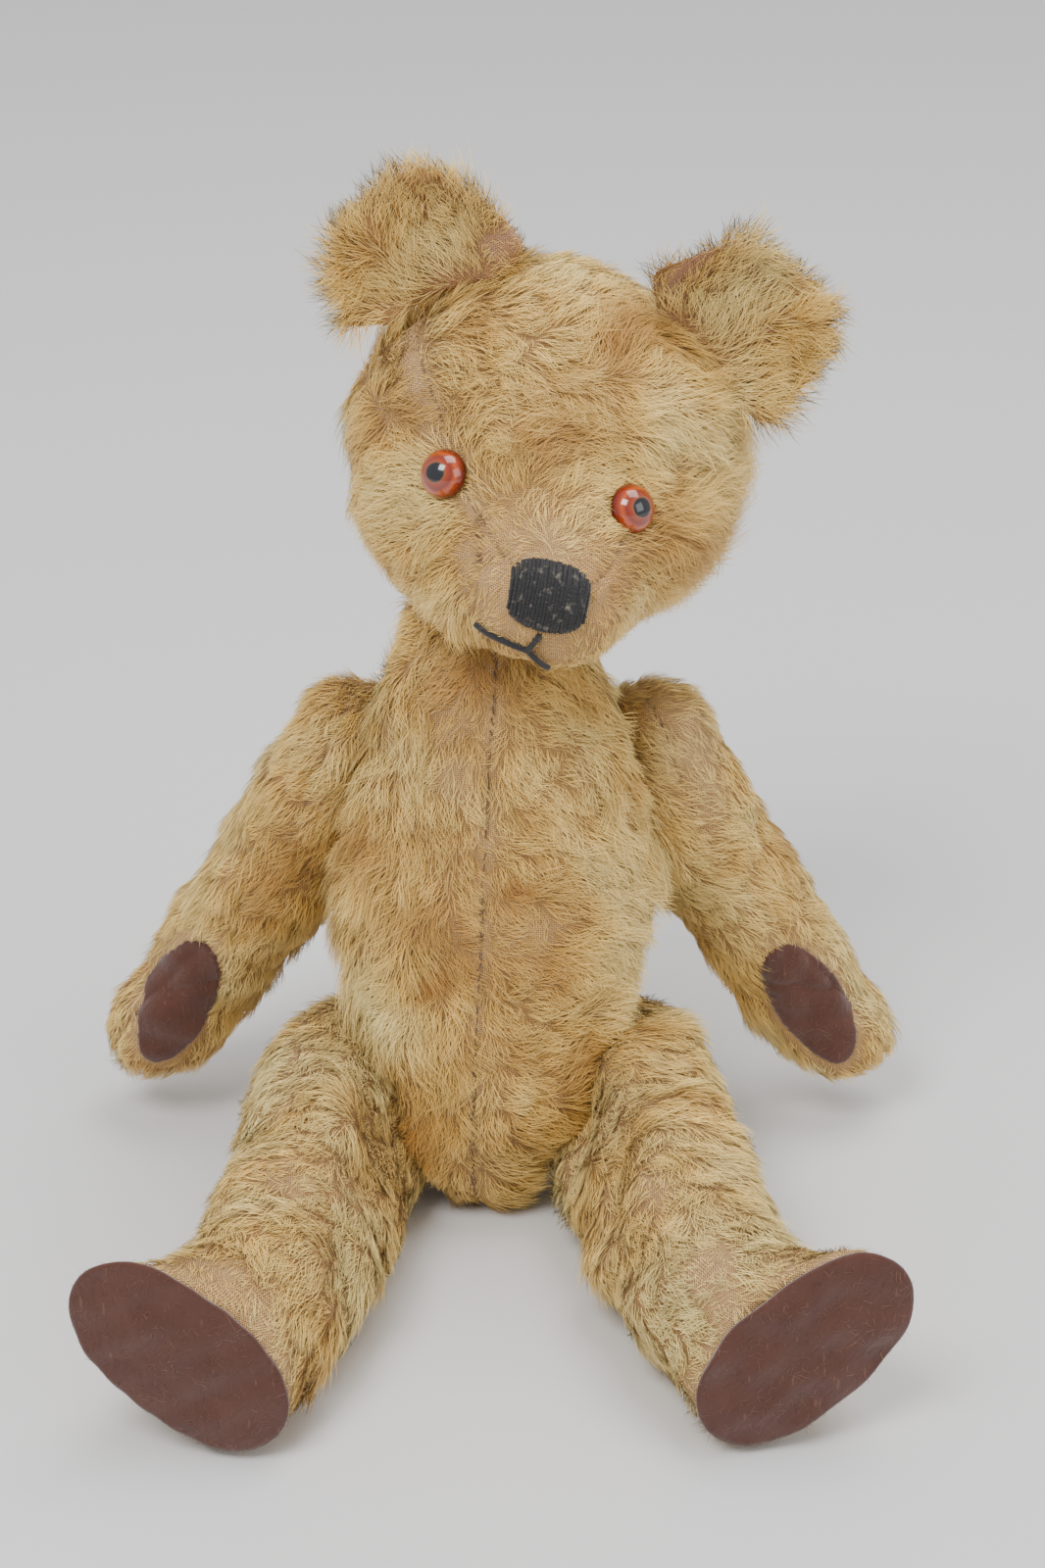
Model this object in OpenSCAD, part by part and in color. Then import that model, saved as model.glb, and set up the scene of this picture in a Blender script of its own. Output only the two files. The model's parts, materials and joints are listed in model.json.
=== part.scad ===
// Jointed teddy bear: stuffed mohair skins turning on hardboard discs and cotter pins.
// It sits on z = 0, faces -Y, and its own left side is +X. Sizes are of the cloth, without the pile.

/* [Torso] */
// Length of the torso, from the seat to the neck joint
torso_length = 191; // [172:1:216]
// Width of the torso at the belly
torso_width = 98; // [88:1:112]
// Depth of the torso at the belly
torso_depth = 84; // [74:1:96]
// Lean backwards, in degrees
torso_lean = 14; // [8:1:18]
// Lean towards the bear's left, in degrees
torso_tilt = 3; // [0:0.5:5]
// Turn of the front seam round the torso, in degrees
seam_turn = -5; // [-10:1:10]

/* [Head] */
// Width of the head
head_width = 114; // [96:1:132]
// Height of the head, from the neck joint to the crown
head_height = 107; // [92:1:122]
// Distance from the middle of the head to its back
head_back = 52; // [44:1:60]
// Distance from the middle of the head to the tip of the muzzle
muzzle_reach = 83; // [74:1:92]
// Tilt of the head towards the bear's left, in degrees
head_roll = 12; // [0:1:18]
// Turn of the head towards the bear's left, in degrees
head_yaw = -3; // [-15:1:15]
// Height of an ear above the head
ear_height = 39; // [32:1:48]
// Width of an ear at its widest
ear_width = 54; // [46:1:64]
// Diameter of a glass eye
eye_d = 16; // [12:0.5:19]
// Width of the stitched nose
nose_width = 25; // [18:1:30]

/* [Arms] */
// Length of an arm, from its joint to the tip of the paw
arm_length = 123; // [110:1:146]
// Distance from the shoulder joint to the top of the arm
arm_top = 27; // [24:1:31]
// Depth of the upper arm, front to back
arm_depth = 54; // [46:1:60]
// Thickness of the upper arm, side to side
arm_thick = 40; // [34:1:46]
// How far the paw bows out from the shoulder
arm_bow = 36; // [20:1:50]
// Distance of the shoulder joint below the neck joint
shoulder_drop = 72; // [66:1:80]
// Distance of a shoulder joint from the middle of the torso
shoulder_out = 40; // [38:1:44]
// Upward tilt of a shoulder's pin, in degrees
shoulder_rise = 13; // [6:1:18]
// Backward turn of a shoulder's pin, in degrees
shoulder_turn = 16; // [0:1:25]
// Forward swing of a resting arm, in degrees
arm_swing = 4; // [-10:1:20]
// Length of a paw pad
pad_length = 52; // [42:1:62]

/* [Legs] */
// Length of a leg, from its joint to the sole
leg_length = 151; // [130:1:172]
// Distance from the hip joint to the top of the leg
leg_top = 29; // [26:1:34]
// Depth of the thigh, front to back
leg_depth = 61; // [54:1:68]
// Thickness of the thigh, side to side
leg_thick = 55; // [46:1:62]
// Length of a sole, heel to toe
sole_length = 71; // [62:1:84]
// Width of a sole
sole_width = 41; // [36:1:49]
// Height of the hip joints along the torso
hip_height = 48; // [44:1:56]
// Distance of the hip joints in front of the torso's middle line
hip_forward = 13; // [6:1:16]
// Distance of a hip joint from the middle of the torso
hip_out = 28; // [26:1:33]
// Downward tilt of a hip's pin, in degrees
hip_droop = 25; // [10:1:30]
// Outward turn of the left leg, in degrees
left_splay = 10; // [4:1:20]
// Outward turn of the right leg, in degrees
right_splay = 8; // [4:1:20]

/* [Cloth and joints] */
// Thickness of the mohair cloth's backing
cloth = 1.2; // [0.8:0.1:1.6]
// Thickness of the felt of pads and soles
felt = 1.6; // [1.2:0.1:2.2]
// Diameter of the hip and neck discs
big_disc_d = 34; // [29:1:36]
// Diameter of the shoulder discs
small_disc_d = 19; // [18:1:26]
// Thickness of a hardboard disc
disc_thick = 3; // [2:0.5:4]
// Diameter of a cotter pin's shank
pin_d = 3; // [2.4:0.1:3.6]
// Diameter of a washer
washer_d = 13; // [11:0.5:16]
// Thickness of a washer
washer_thick = 1; // [0.8:0.1:1.4]

/* [Hidden] */
$fn = 48;

LEFT = 1;
RIGHT = -1;
rub_gap = 0.3;      // each cloth's distance from the plane where two parts rub
seam_gap = 0.3;     // between two cloth edges sewn together
fill_gap = 0.3;     // between a cloth and the disc behind it
pack_gap = 1.4;     // between a skin and its stuffing
run_gap = 0.05;     // radial clearance of a pin in a disc or washer
hole_gap = 0.8;     // radial clearance of a pin in cloth and stuffing
stitch_d = 0.9;     // thread of the front seam
floss_d = 1.5;      // thread of the mouth
pupil_d = eye_d * 0.42;
eye_gap = 1.3;      // from the head's cloth to the flat back of an eye
wire_d = 1;

// ---- Small tools ----
function mix(a, b, t) = a + (b - a) * t;
function unit(v) = v / norm(v);
function row_at(tab, s, i = 0) = i >= len(tab) - 2 || s < tab[i + 1][0] ? i : row_at(tab, s, i + 1);
function slope(tab, i) =
    let(a = max(i - 1, 0), b = min(i + 1, len(tab) - 1))
    (tab[b] - tab[a]) / (tab[b][0] - tab[a][0]);
// A table's row at s, on a smooth curve through its rows
function smooth(tab, s) =
    let(k = min(max(s, tab[0][0]), tab[len(tab) - 1][0]), i = row_at(tab, k))
    let(h = tab[i + 1][0] - tab[i][0], t = (k - tab[i][0]) / h)
    tab[i] * (2 * t^3 - 3 * t^2 + 1) + slope(tab, i) * h * (t^3 - 2 * t^2 + t)
    + tab[i + 1] * (3 * t^2 - 2 * t^3) + slope(tab, i + 1) * h * (t^3 - t^2);

// A frame is [origin, x, y, z]. The y axes of the bear's two sides both point backwards.
function frame_of(origin, x, up, side = LEFT) =
    let(ex = unit(x), ez = unit(up - ex * (up * ex)))
    [origin, ex, side * cross(ez, ex), ez];
function place(fr, p) = fr[0] + fr[1] * p[0] + fr[2] * p[1] + fr[3] * p[2];
module at_frame(fr)
    multmatrix([for (i = [0:2]) [fr[1][i], fr[2][i], fr[3][i], fr[0][i]]]) children();
// The same place with its z axis along the pin, for turned parts
function pin_frame(fr) = [fr[0], fr[3], cross(fr[1], fr[3]), fr[1]];

// Moves a point back behind each plane [point, outward normal] that it is past, and depth below it
function press(p, planes, depth, i = 0) =
    i == len(planes) ? p
    : let(over = (p - planes[i][0]) * planes[i][1] + depth)
      press(over > 0 ? p - planes[i][1] * over : p, planes, depth, i + 1);

// ---- Frames of the six stuffed parts ----
torso_up = unit([tan(torso_tilt), tan(torso_lean), 1]);
torso_fr = frame_of([0, 0, 0], [1, 0, -tan(torso_tilt)], torso_up);
neck_at = torso_up * torso_length;
head_up = [sin(head_roll), 0, cos(head_roll)];
head_right = [cos(head_yaw) * cos(head_roll), sin(head_yaw), -cos(head_yaw) * sin(head_roll)];
neck_sink = 8;      // how far the stuffed head is pressed flat on the neck joint
head_down = head_height / 2 - neck_sink;
head_fr = frame_of(neck_at + head_up * head_down, head_right, head_up);
neck_fr_pin = [neck_at, head_up, head_fr[2], -head_right];   // as a limb's frame: pin along its x

function tilted(turn, rise, side) = [side * cos(rise) * cos(turn), cos(rise) * sin(turn), sin(rise)];
shoulder_mid = torso_up * (torso_length - shoulder_drop);
hip_mid = place(torso_fr, [0, -hip_forward, hip_height]);
function shoulder_axis(side) = tilted(shoulder_turn, shoulder_rise, side);
function arm_fr(side) = frame_of(shoulder_mid + shoulder_axis(side) * shoulder_out, shoulder_axis(side),
                                 [0, sin(arm_swing), cos(arm_swing)], side);
function splay(side) = side == LEFT ? left_splay : right_splay;
function hip_axis(side) = tilted(splay(side), -hip_droop, side);
function leg_fr(side) = frame_of(hip_mid + hip_axis(side) * hip_out, hip_axis(side),
                                 [-side * sin(splay(side)), cos(splay(side)), 0], side);

// ---- Planes that flatten the cloth ----
floor_plane = [[0, 0, 0], [0, 0, -1]];
function inner_plane(fr) = [fr[0] - fr[1] * rub_gap, fr[1]];
function outer_plane(fr) = [fr[0] + fr[1] * rub_gap, -fr[1]];
torso_planes = [
    inner_plane(arm_fr(LEFT)), inner_plane(arm_fr(RIGHT)),
    inner_plane(leg_fr(LEFT)), inner_plane(leg_fr(RIGHT)),
    [neck_at - head_up * rub_gap, head_up], floor_plane
];
head_planes = [[neck_at + head_up * rub_gap, -head_up]];

// Share of a limb's thickness at which its middle lies, so that its inner side is pressed flat
LIMB_SINK = 0.34;

// ---- Lofts: tables of [distance, centre x, centre y, radius x, radius y, turn] ----
torso_table = [for (r = [
        [0, 0.60, 0.66, -2], [0.14, 0.86, 0.88, -3], [0.3, 0.98, 0.98, -4], [0.43, 1, 1, -4],
        [0.58, 1.02, 1, -3], [0.74, 1, 0.97, -1], [0.88, 0.88, 0.88, 0], [1.05, 0.74, 0.78, 0]])
    [r[0] * torso_length, 0, r[3], torso_width / 2 * r[1], torso_depth / 2 * r[2], 0]];
torso_caps = [34, 20];
torso_span = [-6, torso_length + 15];

arm_table = [for (r = [
        [-0.18, -0.03, 0, 0.9, 0.9, 0], [0, 0, 0, 1, 1, 0], [0.24, 0.17, 0, 1.08, 0.98, 0],
        [0.48, 0.45, -1, 1.04, 0.88, 10], [0.7, 0.7, -4, 0.94, 0.78, 24],
        [0.86, 0.88, -7, 0.88, 0.73, 36], [1, 1, -9, 0.84, 0.72, 42]])
    [r[0] * arm_length, arm_thick * LIMB_SINK + r[1] * arm_bow, r[2], r[3] * arm_thick / 2, r[4] * arm_depth / 2, r[5]]];
arm_caps = [20, 17];

function leg_table(skin) = [for (r = [
        [-0.21, 0, 0, 0.94, 0.96, 0], [0, 0, 0, 1, 1, 0], [0.3, 0, 0, 1, 0.96, 0],
        [0.55, 0.02, 0, 0.93, 0.9, 4], [0.74, 0.08, -1, 0.86, 0.85, 12]])
    [r[0] * leg_length, (LIMB_SINK + r[1]) * leg_thick, r[2], r[3] * leg_thick / 2, r[4] * leg_depth / 2, r[5]],
    [leg_length * 0.87, leg_thick * 0.53, -5, sole_width * 0.54, sole_length * 0.395, 18],
    [leg_length * 0.96, leg_thick * 0.63, -10, sole_width * 0.53, sole_length * 0.47, 22],
    [leg_length, leg_thick * 0.67, -12, sole_width / 2, sole_length / 2, 22]];
leg_caps = [27, 0];

// Position and rounding at share u of a span: [distance, factor of the radii]
CAP_SHARE = 0.34;
POLE = 0.06;
function along(u, span, caps, depth) =
    let(n0 = caps[0] > 0 ? CAP_SHARE : 0, n1 = caps[1] > 0 ? CAP_SHARE : 0)
    let(c0 = max(caps[0] - depth, 0), c1 = max(caps[1] - depth, 0))
    let(e0 = span[0] + (n0 > 0 ? depth : 0), e1 = span[1] - (n1 > 0 ? depth : 0))
    u < n0 ? let(q = 90 * (1 - u / n0)) [e0 + c0 * (1 - sin(q)), max(cos(q), POLE)]
    : u > 1 - n1 ? let(q = 90 * (u - 1 + n1) / n1) [e1 - c1 * (1 - sin(q)), max(cos(q), POLE)]
    : [mix(e0 + c0, e1 - c1, (u - n0) / (1 - n0 - n1)), 1];

function section(tab, s, a, f, depth) =
    let(r = smooth(tab, s), x = max(r[3] - depth, 1) * f * cos(a), y = max(r[4] - depth, 1) * f * sin(a))
    [r[1] + x * cos(r[5]) - y * sin(r[5]), r[2] + x * sin(r[5]) + y * cos(r[5])];

function torso_point(u, a, depth) =
    let(k = along(u, torso_span, torso_caps, depth), c = section(torso_table, k[0], a, k[1], depth))
    press(place(torso_fr, [c[0], c[1], k[0]]), torso_planes, depth);
function limb_point(fr, tab, span, caps, u, a, depth) =
    let(k = along(u, span, caps, depth), c = section(tab, k[0], a, k[1], depth))
    press(place(fr, [c[0], c[1], -k[0]]), [outer_plane(fr), floor_plane], depth);
function arm_point(side, u, a, depth) =
    limb_point(arm_fr(side), arm_table, [-arm_top, arm_length], arm_caps, u, a, depth);
function leg_point(side, u, a, depth, short = 0) =
    limb_point(leg_fr(side), leg_table(0), [-leg_top, leg_length - felt - short], leg_caps, u, a, depth);

// ---- Head: sections run from its back to the tip of the muzzle ----
// [forward, centre x, widest height, half width, height above it, height below it]
half_head = head_height / 2;
muzzle_cap = 14;
head_table = [for (r = [
        [-6, 0, 0, 1, 1, 1], [12, 0, 0, 0.985, 0.985, 1], [26, 0, -3, 0.9, 0.94, 0.94],
        [38, 1, -8, 0.76, 0.82, 0.81], [46, 2, -12.5, 0.62, 0.63, 0.68], [54, 4.5, -16.5, 0.51, 0.46, 0.56],
        [62, 7, -19, 0.435, 0.37, 0.45], [69, 8.5, -20.5, 0.39, 0.33, 0.35], [90, 8.5, -20.5, 0.39, 0.33, 0.35]])
    [r[0] * muzzle_reach / 83, r[1], r[2], r[3] * head_width / 2, r[4] * half_head, r[5] * half_head]];
head_caps = [head_back - 6, muzzle_cap];
head_span = [-head_back, muzzle_reach];
function head_local(u, a, depth) =
    let(k = along(u, head_span, head_caps, depth), r = smooth(head_table, k[0]))
    let(h = (sin(a) > 0 ? r[4] : r[5]) - depth)
    [r[1] + (r[3] - depth) * k[1] * cos(a), -k[0], r[2] + h * k[1] * sin(a)];
function head_point(u, a, depth) = press(place(head_fr, head_local(u, a, depth)), head_planes, depth);
function head_normal(u, a) =
    unit(cross(head_point(u, a + 1, 0) - head_point(u, a - 1, 0),
               head_point(u + 0.01, a, 0) - head_point(u - 0.01, a, 0)));
// Share of the span at which a distance forward lies, where the head isn't rounded off
function head_share(f) =
    let(a = -head_back + head_caps[0], b = muzzle_reach - muzzle_cap)
    CAP_SHARE + (1 - 2 * CAP_SHARE) * (f - a) / (b - a);

// A point on the rounded tip of the muzzle, by angles across and up from straight ahead
function tip_point(across, up, out) =
    let(r = smooth(head_table, muzzle_reach))
    place(head_fr, [r[1] + (r[3] + out) * sin(across),
                    -(muzzle_reach - muzzle_cap) - (muzzle_cap + out) * cos(across) * cos(up),
                    r[2] + (r[4] + out) * cos(across) * sin(up)]);

// ---- Solids from grids of points ----
function flat(grid) = [for (row = grid) for (p = row) p];
function quad(a, b, c, d) = [[a, b, c], [a, c, d]];
// A sheet with thickness, from its outer and inner grids of the same size
module sheet_solid(outer, inner, mirrored = false) {
    n = len(outer) - 1;
    m = len(outer[0]) - 1;
    o = function(i, j) i * (m + 1) + j;
    shift = (n + 1) * (m + 1);
    q = function(i, j) shift + o(i, j);
    faces = [
        for (i = [0:n - 1]) for (j = [0:m - 1]) each quad(o(i, j), o(i + 1, j), o(i + 1, j + 1), o(i, j + 1)),
        for (i = [0:n - 1]) for (j = [0:m - 1]) each quad(q(i, j), q(i, j + 1), q(i + 1, j + 1), q(i + 1, j)),
        for (i = [0:n - 1]) each quad(o(i, 0), q(i, 0), q(i + 1, 0), o(i + 1, 0)),
        for (i = [0:n - 1]) each quad(o(i, m), o(i + 1, m), q(i + 1, m), q(i, m)),
        for (j = [0:m - 1]) each quad(o(0, j), o(0, j + 1), q(0, j + 1), q(0, j)),
        for (j = [0:m - 1]) each quad(o(n, j), q(n, j), q(n, j + 1), o(n, j + 1))
    ];
    polyhedron(concat(flat(outer), flat(inner)), [for (t = faces) mirrored ? [t[2], t[1], t[0]] : t]);
}
// A closed body from rings of points that run from one end to the other
module ring_solid(rings, mirrored = false) {
    n = len(rings) - 1;
    m = len(rings[0]);
    o = function(i, j) i * m + (j % m);
    ends = [for (k = [0, n]) [for (c = [0:2]) [for (p = rings[k]) p[c]] * [for (p = rings[k]) 1 / m]]];
    e0 = (n + 1) * m;
    faces = [
        for (i = [0:n - 1]) for (j = [0:m - 1]) each quad(o(i, j), o(i + 1, j), o(i + 1, j + 1), o(i, j + 1)),
        for (j = [0:m - 1]) [e0, o(0, j), o(0, j + 1)],
        for (j = [0:m - 1]) [e0 + 1, o(n, j + 1), o(n, j)]
    ];
    polyhedron(concat(flat(rings), ends), [for (t = faces) mirrored ? [t[2], t[1], t[0]] : t]);
}
// A round thread along a list of points, with one reference direction that it never follows
module thread_solid(path, d, ref, sides = 6) {
    n = len(path) - 1;
    ring_solid([for (i = [0:n])
        let(t = unit(path[min(i + 1, n)] - path[max(i - 1, 0)]), a = unit(cross(t, ref)), b = cross(t, a))
        [for (j = [0:sides - 1]) path[i] + (a * cos(360 * j / sides) + b * sin(360 * j / sides)) * d / 2]]);
}

function steps(a, b, n) = [for (i = [0:n]) mix(a, b, i / n)];
SEAM_FRONT = -90;
SEAM_BACK = 90;
function seam_angle(r) = seam_gap / 2 / r * 180 / PI;

// ---- Joint hardware, drawn along z with the limb or head on the +z side ----
disc_z = rub_gap + cloth + fill_gap;
stack_z = disc_z + disc_thick + washer_thick;
pin_wire = pin_d * 0.4;
eye_ring_r = pin_d;
curl_r = pin_d * 0.85;
curl_wire = pin_d / 4;
pocket_gap = 0.5;
end_room = 9;
module ring(r, wire) rotate([90, 0, 0]) rotate_extrude() translate([r, 0]) circle(wire, $fn = 24);
module bore(d) translate([0, 0, -50]) cylinder(d = d, h = 100);
module plate(z, d, thick) {
    difference() {
        translate([0, 0, z]) cylinder(d = d, h = thick);
        bore(pin_d + 2 * run_gap);
    }
}
module outer_disc(fr, d) color("burlywood") at_frame(pin_frame(fr)) plate(disc_z, d, disc_thick);
module inner_disc(fr, d) color("burlywood") at_frame(pin_frame(fr)) plate(-disc_z - disc_thick, d, disc_thick);
module outer_washer(fr) color("silver")
    at_frame(pin_frame(fr)) plate(disc_z + disc_thick, washer_d, washer_thick);
module inner_washer(fr) color("silver") at_frame(pin_frame(fr)) plate(-stack_z, washer_d, washer_thick);
// The head of the pin is a ring in the limb. Its two ends curl apart over the torso's washer.
module cotter_pin(fr) {
    curl_z = stack_z + rub_gap + curl_r + curl_wire;
    color("gray") at_frame(pin_frame(fr)) {
        translate([0, 0, -curl_z]) cylinder(d = pin_d, h = curl_z + stack_z + pin_wire);
        translate([0, 0, stack_z + eye_ring_r + pin_wire]) ring(eye_ring_r, pin_wire);
        for (s = [-1, 1]) translate([s * (curl_r + 0.3), 0, -curl_z]) ring(curl_r, curl_wire);
    }
}
// Room for the hardware in what is packed round it
module outer_pocket(fr, d) at_frame(pin_frame(fr)) {
    translate([0, 0, -5]) cylinder(d = d + 2 * pocket_gap, h = 5 + disc_z + disc_thick + pocket_gap);
    cylinder(d = washer_d + 2 * pocket_gap, h = stack_z + end_room);
}
module inner_pocket(fr, d) at_frame(pin_frame(fr)) mirror([0, 0, 1]) {
    translate([0, 0, -5]) cylinder(d = d + 2 * pocket_gap, h = 5 + disc_z + disc_thick + pocket_gap);
    cylinder(d = washer_d + 2 * pocket_gap, h = stack_z + end_room);
}
module pin_hole(fr) at_frame(pin_frame(fr)) bore(pin_d + 2 * hole_gap);

// ---- Torso ----
module torso_panel(side) {
    a = seam_angle(torso_width / 2);
    front = SEAM_FRONT + seam_turn;
    angles = side == LEFT ? steps(front + a, SEAM_BACK - a, 11) : steps(SEAM_BACK + a, front + 360 - a, 11);
    shares = steps(0, 1, 18);
    color("burlywood") difference() {
        sheet_solid([for (u = shares) [for (a = angles) torso_point(u, a, 0)]],
                    [for (u = shares) [for (a = angles) torso_point(u, a, cloth)]]);
        pin_hole(arm_fr(side));
        pin_hole(leg_fr(side));
        pin_hole(neck_fr_pin);
    }
}
module torso_skin_left() torso_panel(LEFT);
module torso_skin_right() torso_panel(RIGHT);
module torso_stuffing() {
    color("wheat") difference() {
        ring_solid([for (u = steps(0, 1, 18)) [for (a = steps(0, 345, 23)) torso_point(u, a, cloth + pack_gap)]]);
        for (s = [LEFT, RIGHT]) {
            inner_pocket(arm_fr(s), small_disc_d);
            inner_pocket(leg_fr(s), big_disc_d);
        }
        inner_pocket(neck_fr_pin, big_disc_d);
    }
}
module front_seam_thread() {
    proud = 0.2 + stitch_d / 2;
    color("saddlebrown")
        thread_solid([for (u = steps(0.2, 0.64, 34)) torso_point(u, SEAM_FRONT + seam_turn, -proud)], stitch_d, [1, 0, 0]);
}
module neck_disc_lower() inner_disc(neck_fr_pin, big_disc_d);
module shoulder_disc_inner_left() inner_disc(arm_fr(LEFT), small_disc_d);
module shoulder_disc_inner_right() inner_disc(arm_fr(RIGHT), small_disc_d);
module hip_disc_inner_left() inner_disc(leg_fr(LEFT), big_disc_d);
module hip_disc_inner_right() inner_disc(leg_fr(RIGHT), big_disc_d);
module torso_washers() for (fr = [neck_fr_pin, arm_fr(LEFT), arm_fr(RIGHT), leg_fr(LEFT), leg_fr(RIGHT)])
    inner_washer(fr);

// ---- Head ----
// Half the gusset's width at a share of the head's span, in degrees round its section
gusset_table = [[0, 26], [0.2, 36], [0.36, 49], [0.5, 53], [0.62, 50], [0.76, 36], [1, 30]];
function gusset_half(u) = smooth(gusset_table, u)[1];
module head_holes() {
    at_frame(pin_frame(neck_fr_pin)) bore(pin_d + 2 * hole_gap);
    for (s = [LEFT, RIGHT]) at_frame(eye_fr(s)) translate([0, 0, -18]) cylinder(d = wire_d + 2 * hole_gap, h = 20);
}
module head_panel(edge_a, edge_b, across) {
    shares = steps(0, 1, 22);
    color("burlywood") difference() {
        sheet_solid([for (u = shares) [for (a = steps(edge_a(u), edge_b(u), across)) head_point(u, a, 0)]],
                    [for (u = shares) [for (a = steps(edge_a(u), edge_b(u), across)) head_point(u, a, cloth)]]);
        head_holes();
    }
}
head_seam = seam_angle(head_width / 2);
module head_gusset() head_panel(function(u) 90 - gusset_half(u), function(u) 90 + gusset_half(u), 9);
module head_side_left() head_panel(function(u) SEAM_FRONT + head_seam,
                                   function(u) 90 - gusset_half(u) - 2 * head_seam, 11);
module head_side_right() head_panel(function(u) 90 + gusset_half(u) + 2 * head_seam,
                                    function(u) 270 - head_seam, 11);
module head_stuffing() {
    color("wheat") difference() {
        ring_solid([for (u = steps(0, 1, 22)) [for (a = steps(0, 345, 23)) head_point(u, a, cloth + pack_gap)]]);
        outer_pocket(neck_fr_pin, big_disc_d);
        for (s = [LEFT, RIGHT]) at_frame(eye_fr(s)) translate([0, 0, -wire_long - 6])
            cylinder(d = 7, h = wire_long + 5);
    }
}
module neck_disc_upper() outer_disc(neck_fr_pin, big_disc_d);
module neck_washer() outer_washer(neck_fr_pin);
module neck_cotter_pin() cotter_pin(neck_fr_pin);

ear_low = 32;       // where an ear's base starts and ends round the head's section, in degrees
ear_high = 66;
ear_forward = 8;    // how far forward its two ends lie
ear_cup = 9;        // how deep its hollow is
ear_curl = 7;       // how far its rim leans forward
function ear_angle(side, t) = side == LEFT ? mix(ear_high, ear_low, (t + 1) / 2) : 180 - mix(ear_high, ear_low, (t + 1) / 2);
function ear_base(side, t) = head_point(head_share(ear_forward - ear_cup * (1 - t * t)), ear_angle(side, t), -0.5);
// A point of an ear: t across it from the crown outwards, h from base to rim, depth through it
function ear_point(side, t, h, depth) =
    let(out = head_normal(head_share(0), ear_angle(side, 0)), forward = -head_fr[2])
    let(chord = ear_base(side, 1) - ear_base(side, -1), along_base = unit(chord))
    let(tall = ear_height * sqrt(1 - pow(abs(t), 2.6)), widen = (ear_width - norm(chord)) / 2 + 3)
    ear_base(side, t) + out * tall * h + along_base * t * widen * sin(90 * h)
    + forward * (ear_curl * h * h + depth);
module ear(side, near, far) {
    across = steps(-0.975, 0.975, 12);
    up = steps(0, 1, 5);
    color("burlywood")
        sheet_solid([for (t = across) [for (h = up) ear_point(side, t, h, far)]],
                    [for (t = across) [for (h = up) ear_point(side, t, h, near)]], side == RIGHT);
}
module ear_left_front() ear(LEFT, seam_gap / 2, seam_gap / 2 + cloth);
module ear_left_back() ear(LEFT, -seam_gap / 2 - cloth, -seam_gap / 2);
module ear_right_front() ear(RIGHT, seam_gap / 2, seam_gap / 2 + cloth);
module ear_right_back() ear(RIGHT, -seam_gap / 2 - cloth, -seam_gap / 2);

eye_at = [[head_share(50), 43], [head_share(48), 149]];
function eye_spot(side) = side == LEFT ? eye_at[0] : eye_at[1];
function normal_frame(o, n) = let(x = unit(cross([0, 0, 1], n))) [o, x, cross(n, x), n];
function eye_fr(side) = let(e = eye_spot(side))
    normal_frame(head_point(e[0], e[1], -eye_gap), head_normal(e[0], e[1]));
eye_tall = eye_d * 0.35;
pupil_tall = 1.4;
wire_long = 9;
module eye_glass(side) {
    r = eye_d / 2;
    dome = (r * r + eye_tall * eye_tall) / (2 * eye_tall);
    color("orange") at_frame(eye_fr(side)) difference() {
        intersection() {
            cylinder(r = r, h = eye_tall);
            translate([0, 0, eye_tall - dome]) sphere(dome);
        }
        translate([0, 0, -1]) cylinder(d = pupil_d + 2 * run_gap, h = 1 + pupil_tall + run_gap);
    }
}
module eye_pupil(side) color("black") at_frame(eye_fr(side)) cylinder(d = pupil_d, h = pupil_tall);
module eye_wire(side) color("silver") at_frame(eye_fr(side)) {
    translate([0, 0, -wire_long]) cylinder(d = wire_d, h = wire_long);
    translate([0, 0, -wire_long - 2]) ring(2.2, wire_d / 2);
}
module eye_left_glass() eye_glass(LEFT);
module eye_left_pupil() eye_pupil(LEFT);
module eye_left_wire() eye_wire(LEFT);
module eye_right_glass() eye_glass(RIGHT);
module eye_right_pupil() eye_pupil(RIGHT);
module eye_right_wire() eye_wire(RIGHT);

nose_low = -6;      // the nose's lower and upper edge on the muzzle's tip, in degrees
nose_high = 56;
nose_pad = 2.6;     // how thick the stitching lies
module nose_stitching() {
    reach = asin(nose_width / 2 / (smooth(head_table, muzzle_reach)[3] + nose_pad));
    mid_up = (nose_low + nose_high) / 2;
    half_up = (nose_high - nose_low) / 2;
    grid = steps(-1, 1, 10);
    p = function(x, y, out) tip_point(reach * x * sqrt(1 - 0.36 * y * y),
                                      mid_up + half_up * y * sqrt(1 - 0.36 * x * x), out);
    thick = function(x, y) nose_pad * sqrt(1 - 0.9 * pow(max(abs(x), abs(y)), 4));
    color("midnightblue")
        sheet_solid([for (x = grid) [for (y = grid) p(x, y, 0.3 + thick(x, y))]],
                    [for (x = grid) [for (y = grid) p(x, y, 0.3)]], true);
}
// The mouth's three stitches start below the nose and part at its fork
mouth_fork = [-6, -32];
module mouth_stitching() {
    proud = 0.4 + floss_d / 2;
    stem = [for (t = steps(0, 1, 3)) tip_point(mix(0, mouth_fork[0], t), mix(nose_low - 5, mouth_fork[1], t), proud)];
    stitch = function(end, sag) [for (t = steps(0, 1, 6))
        tip_point(mix(mouth_fork[0], end[0], t), mix(mouth_fork[1], end[1], t) + sag * sin(180 * t), proud)];
    color("black") {
        thread_solid(stem, floss_d, [1, 0, 0]);
        thread_solid(stitch([-52, -42], 4), floss_d, [0, 0, 1]);
        thread_solid(stitch([12, -62], 2), floss_d, [1, 0, 0]);
    }
}

// ---- Arms ----
limb_seam = seam_angle(arm_depth / 2);
OUTER = [SEAM_FRONT + limb_seam, SEAM_BACK - limb_seam];
INNER = [SEAM_BACK + limb_seam, 270 - limb_seam];
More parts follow.
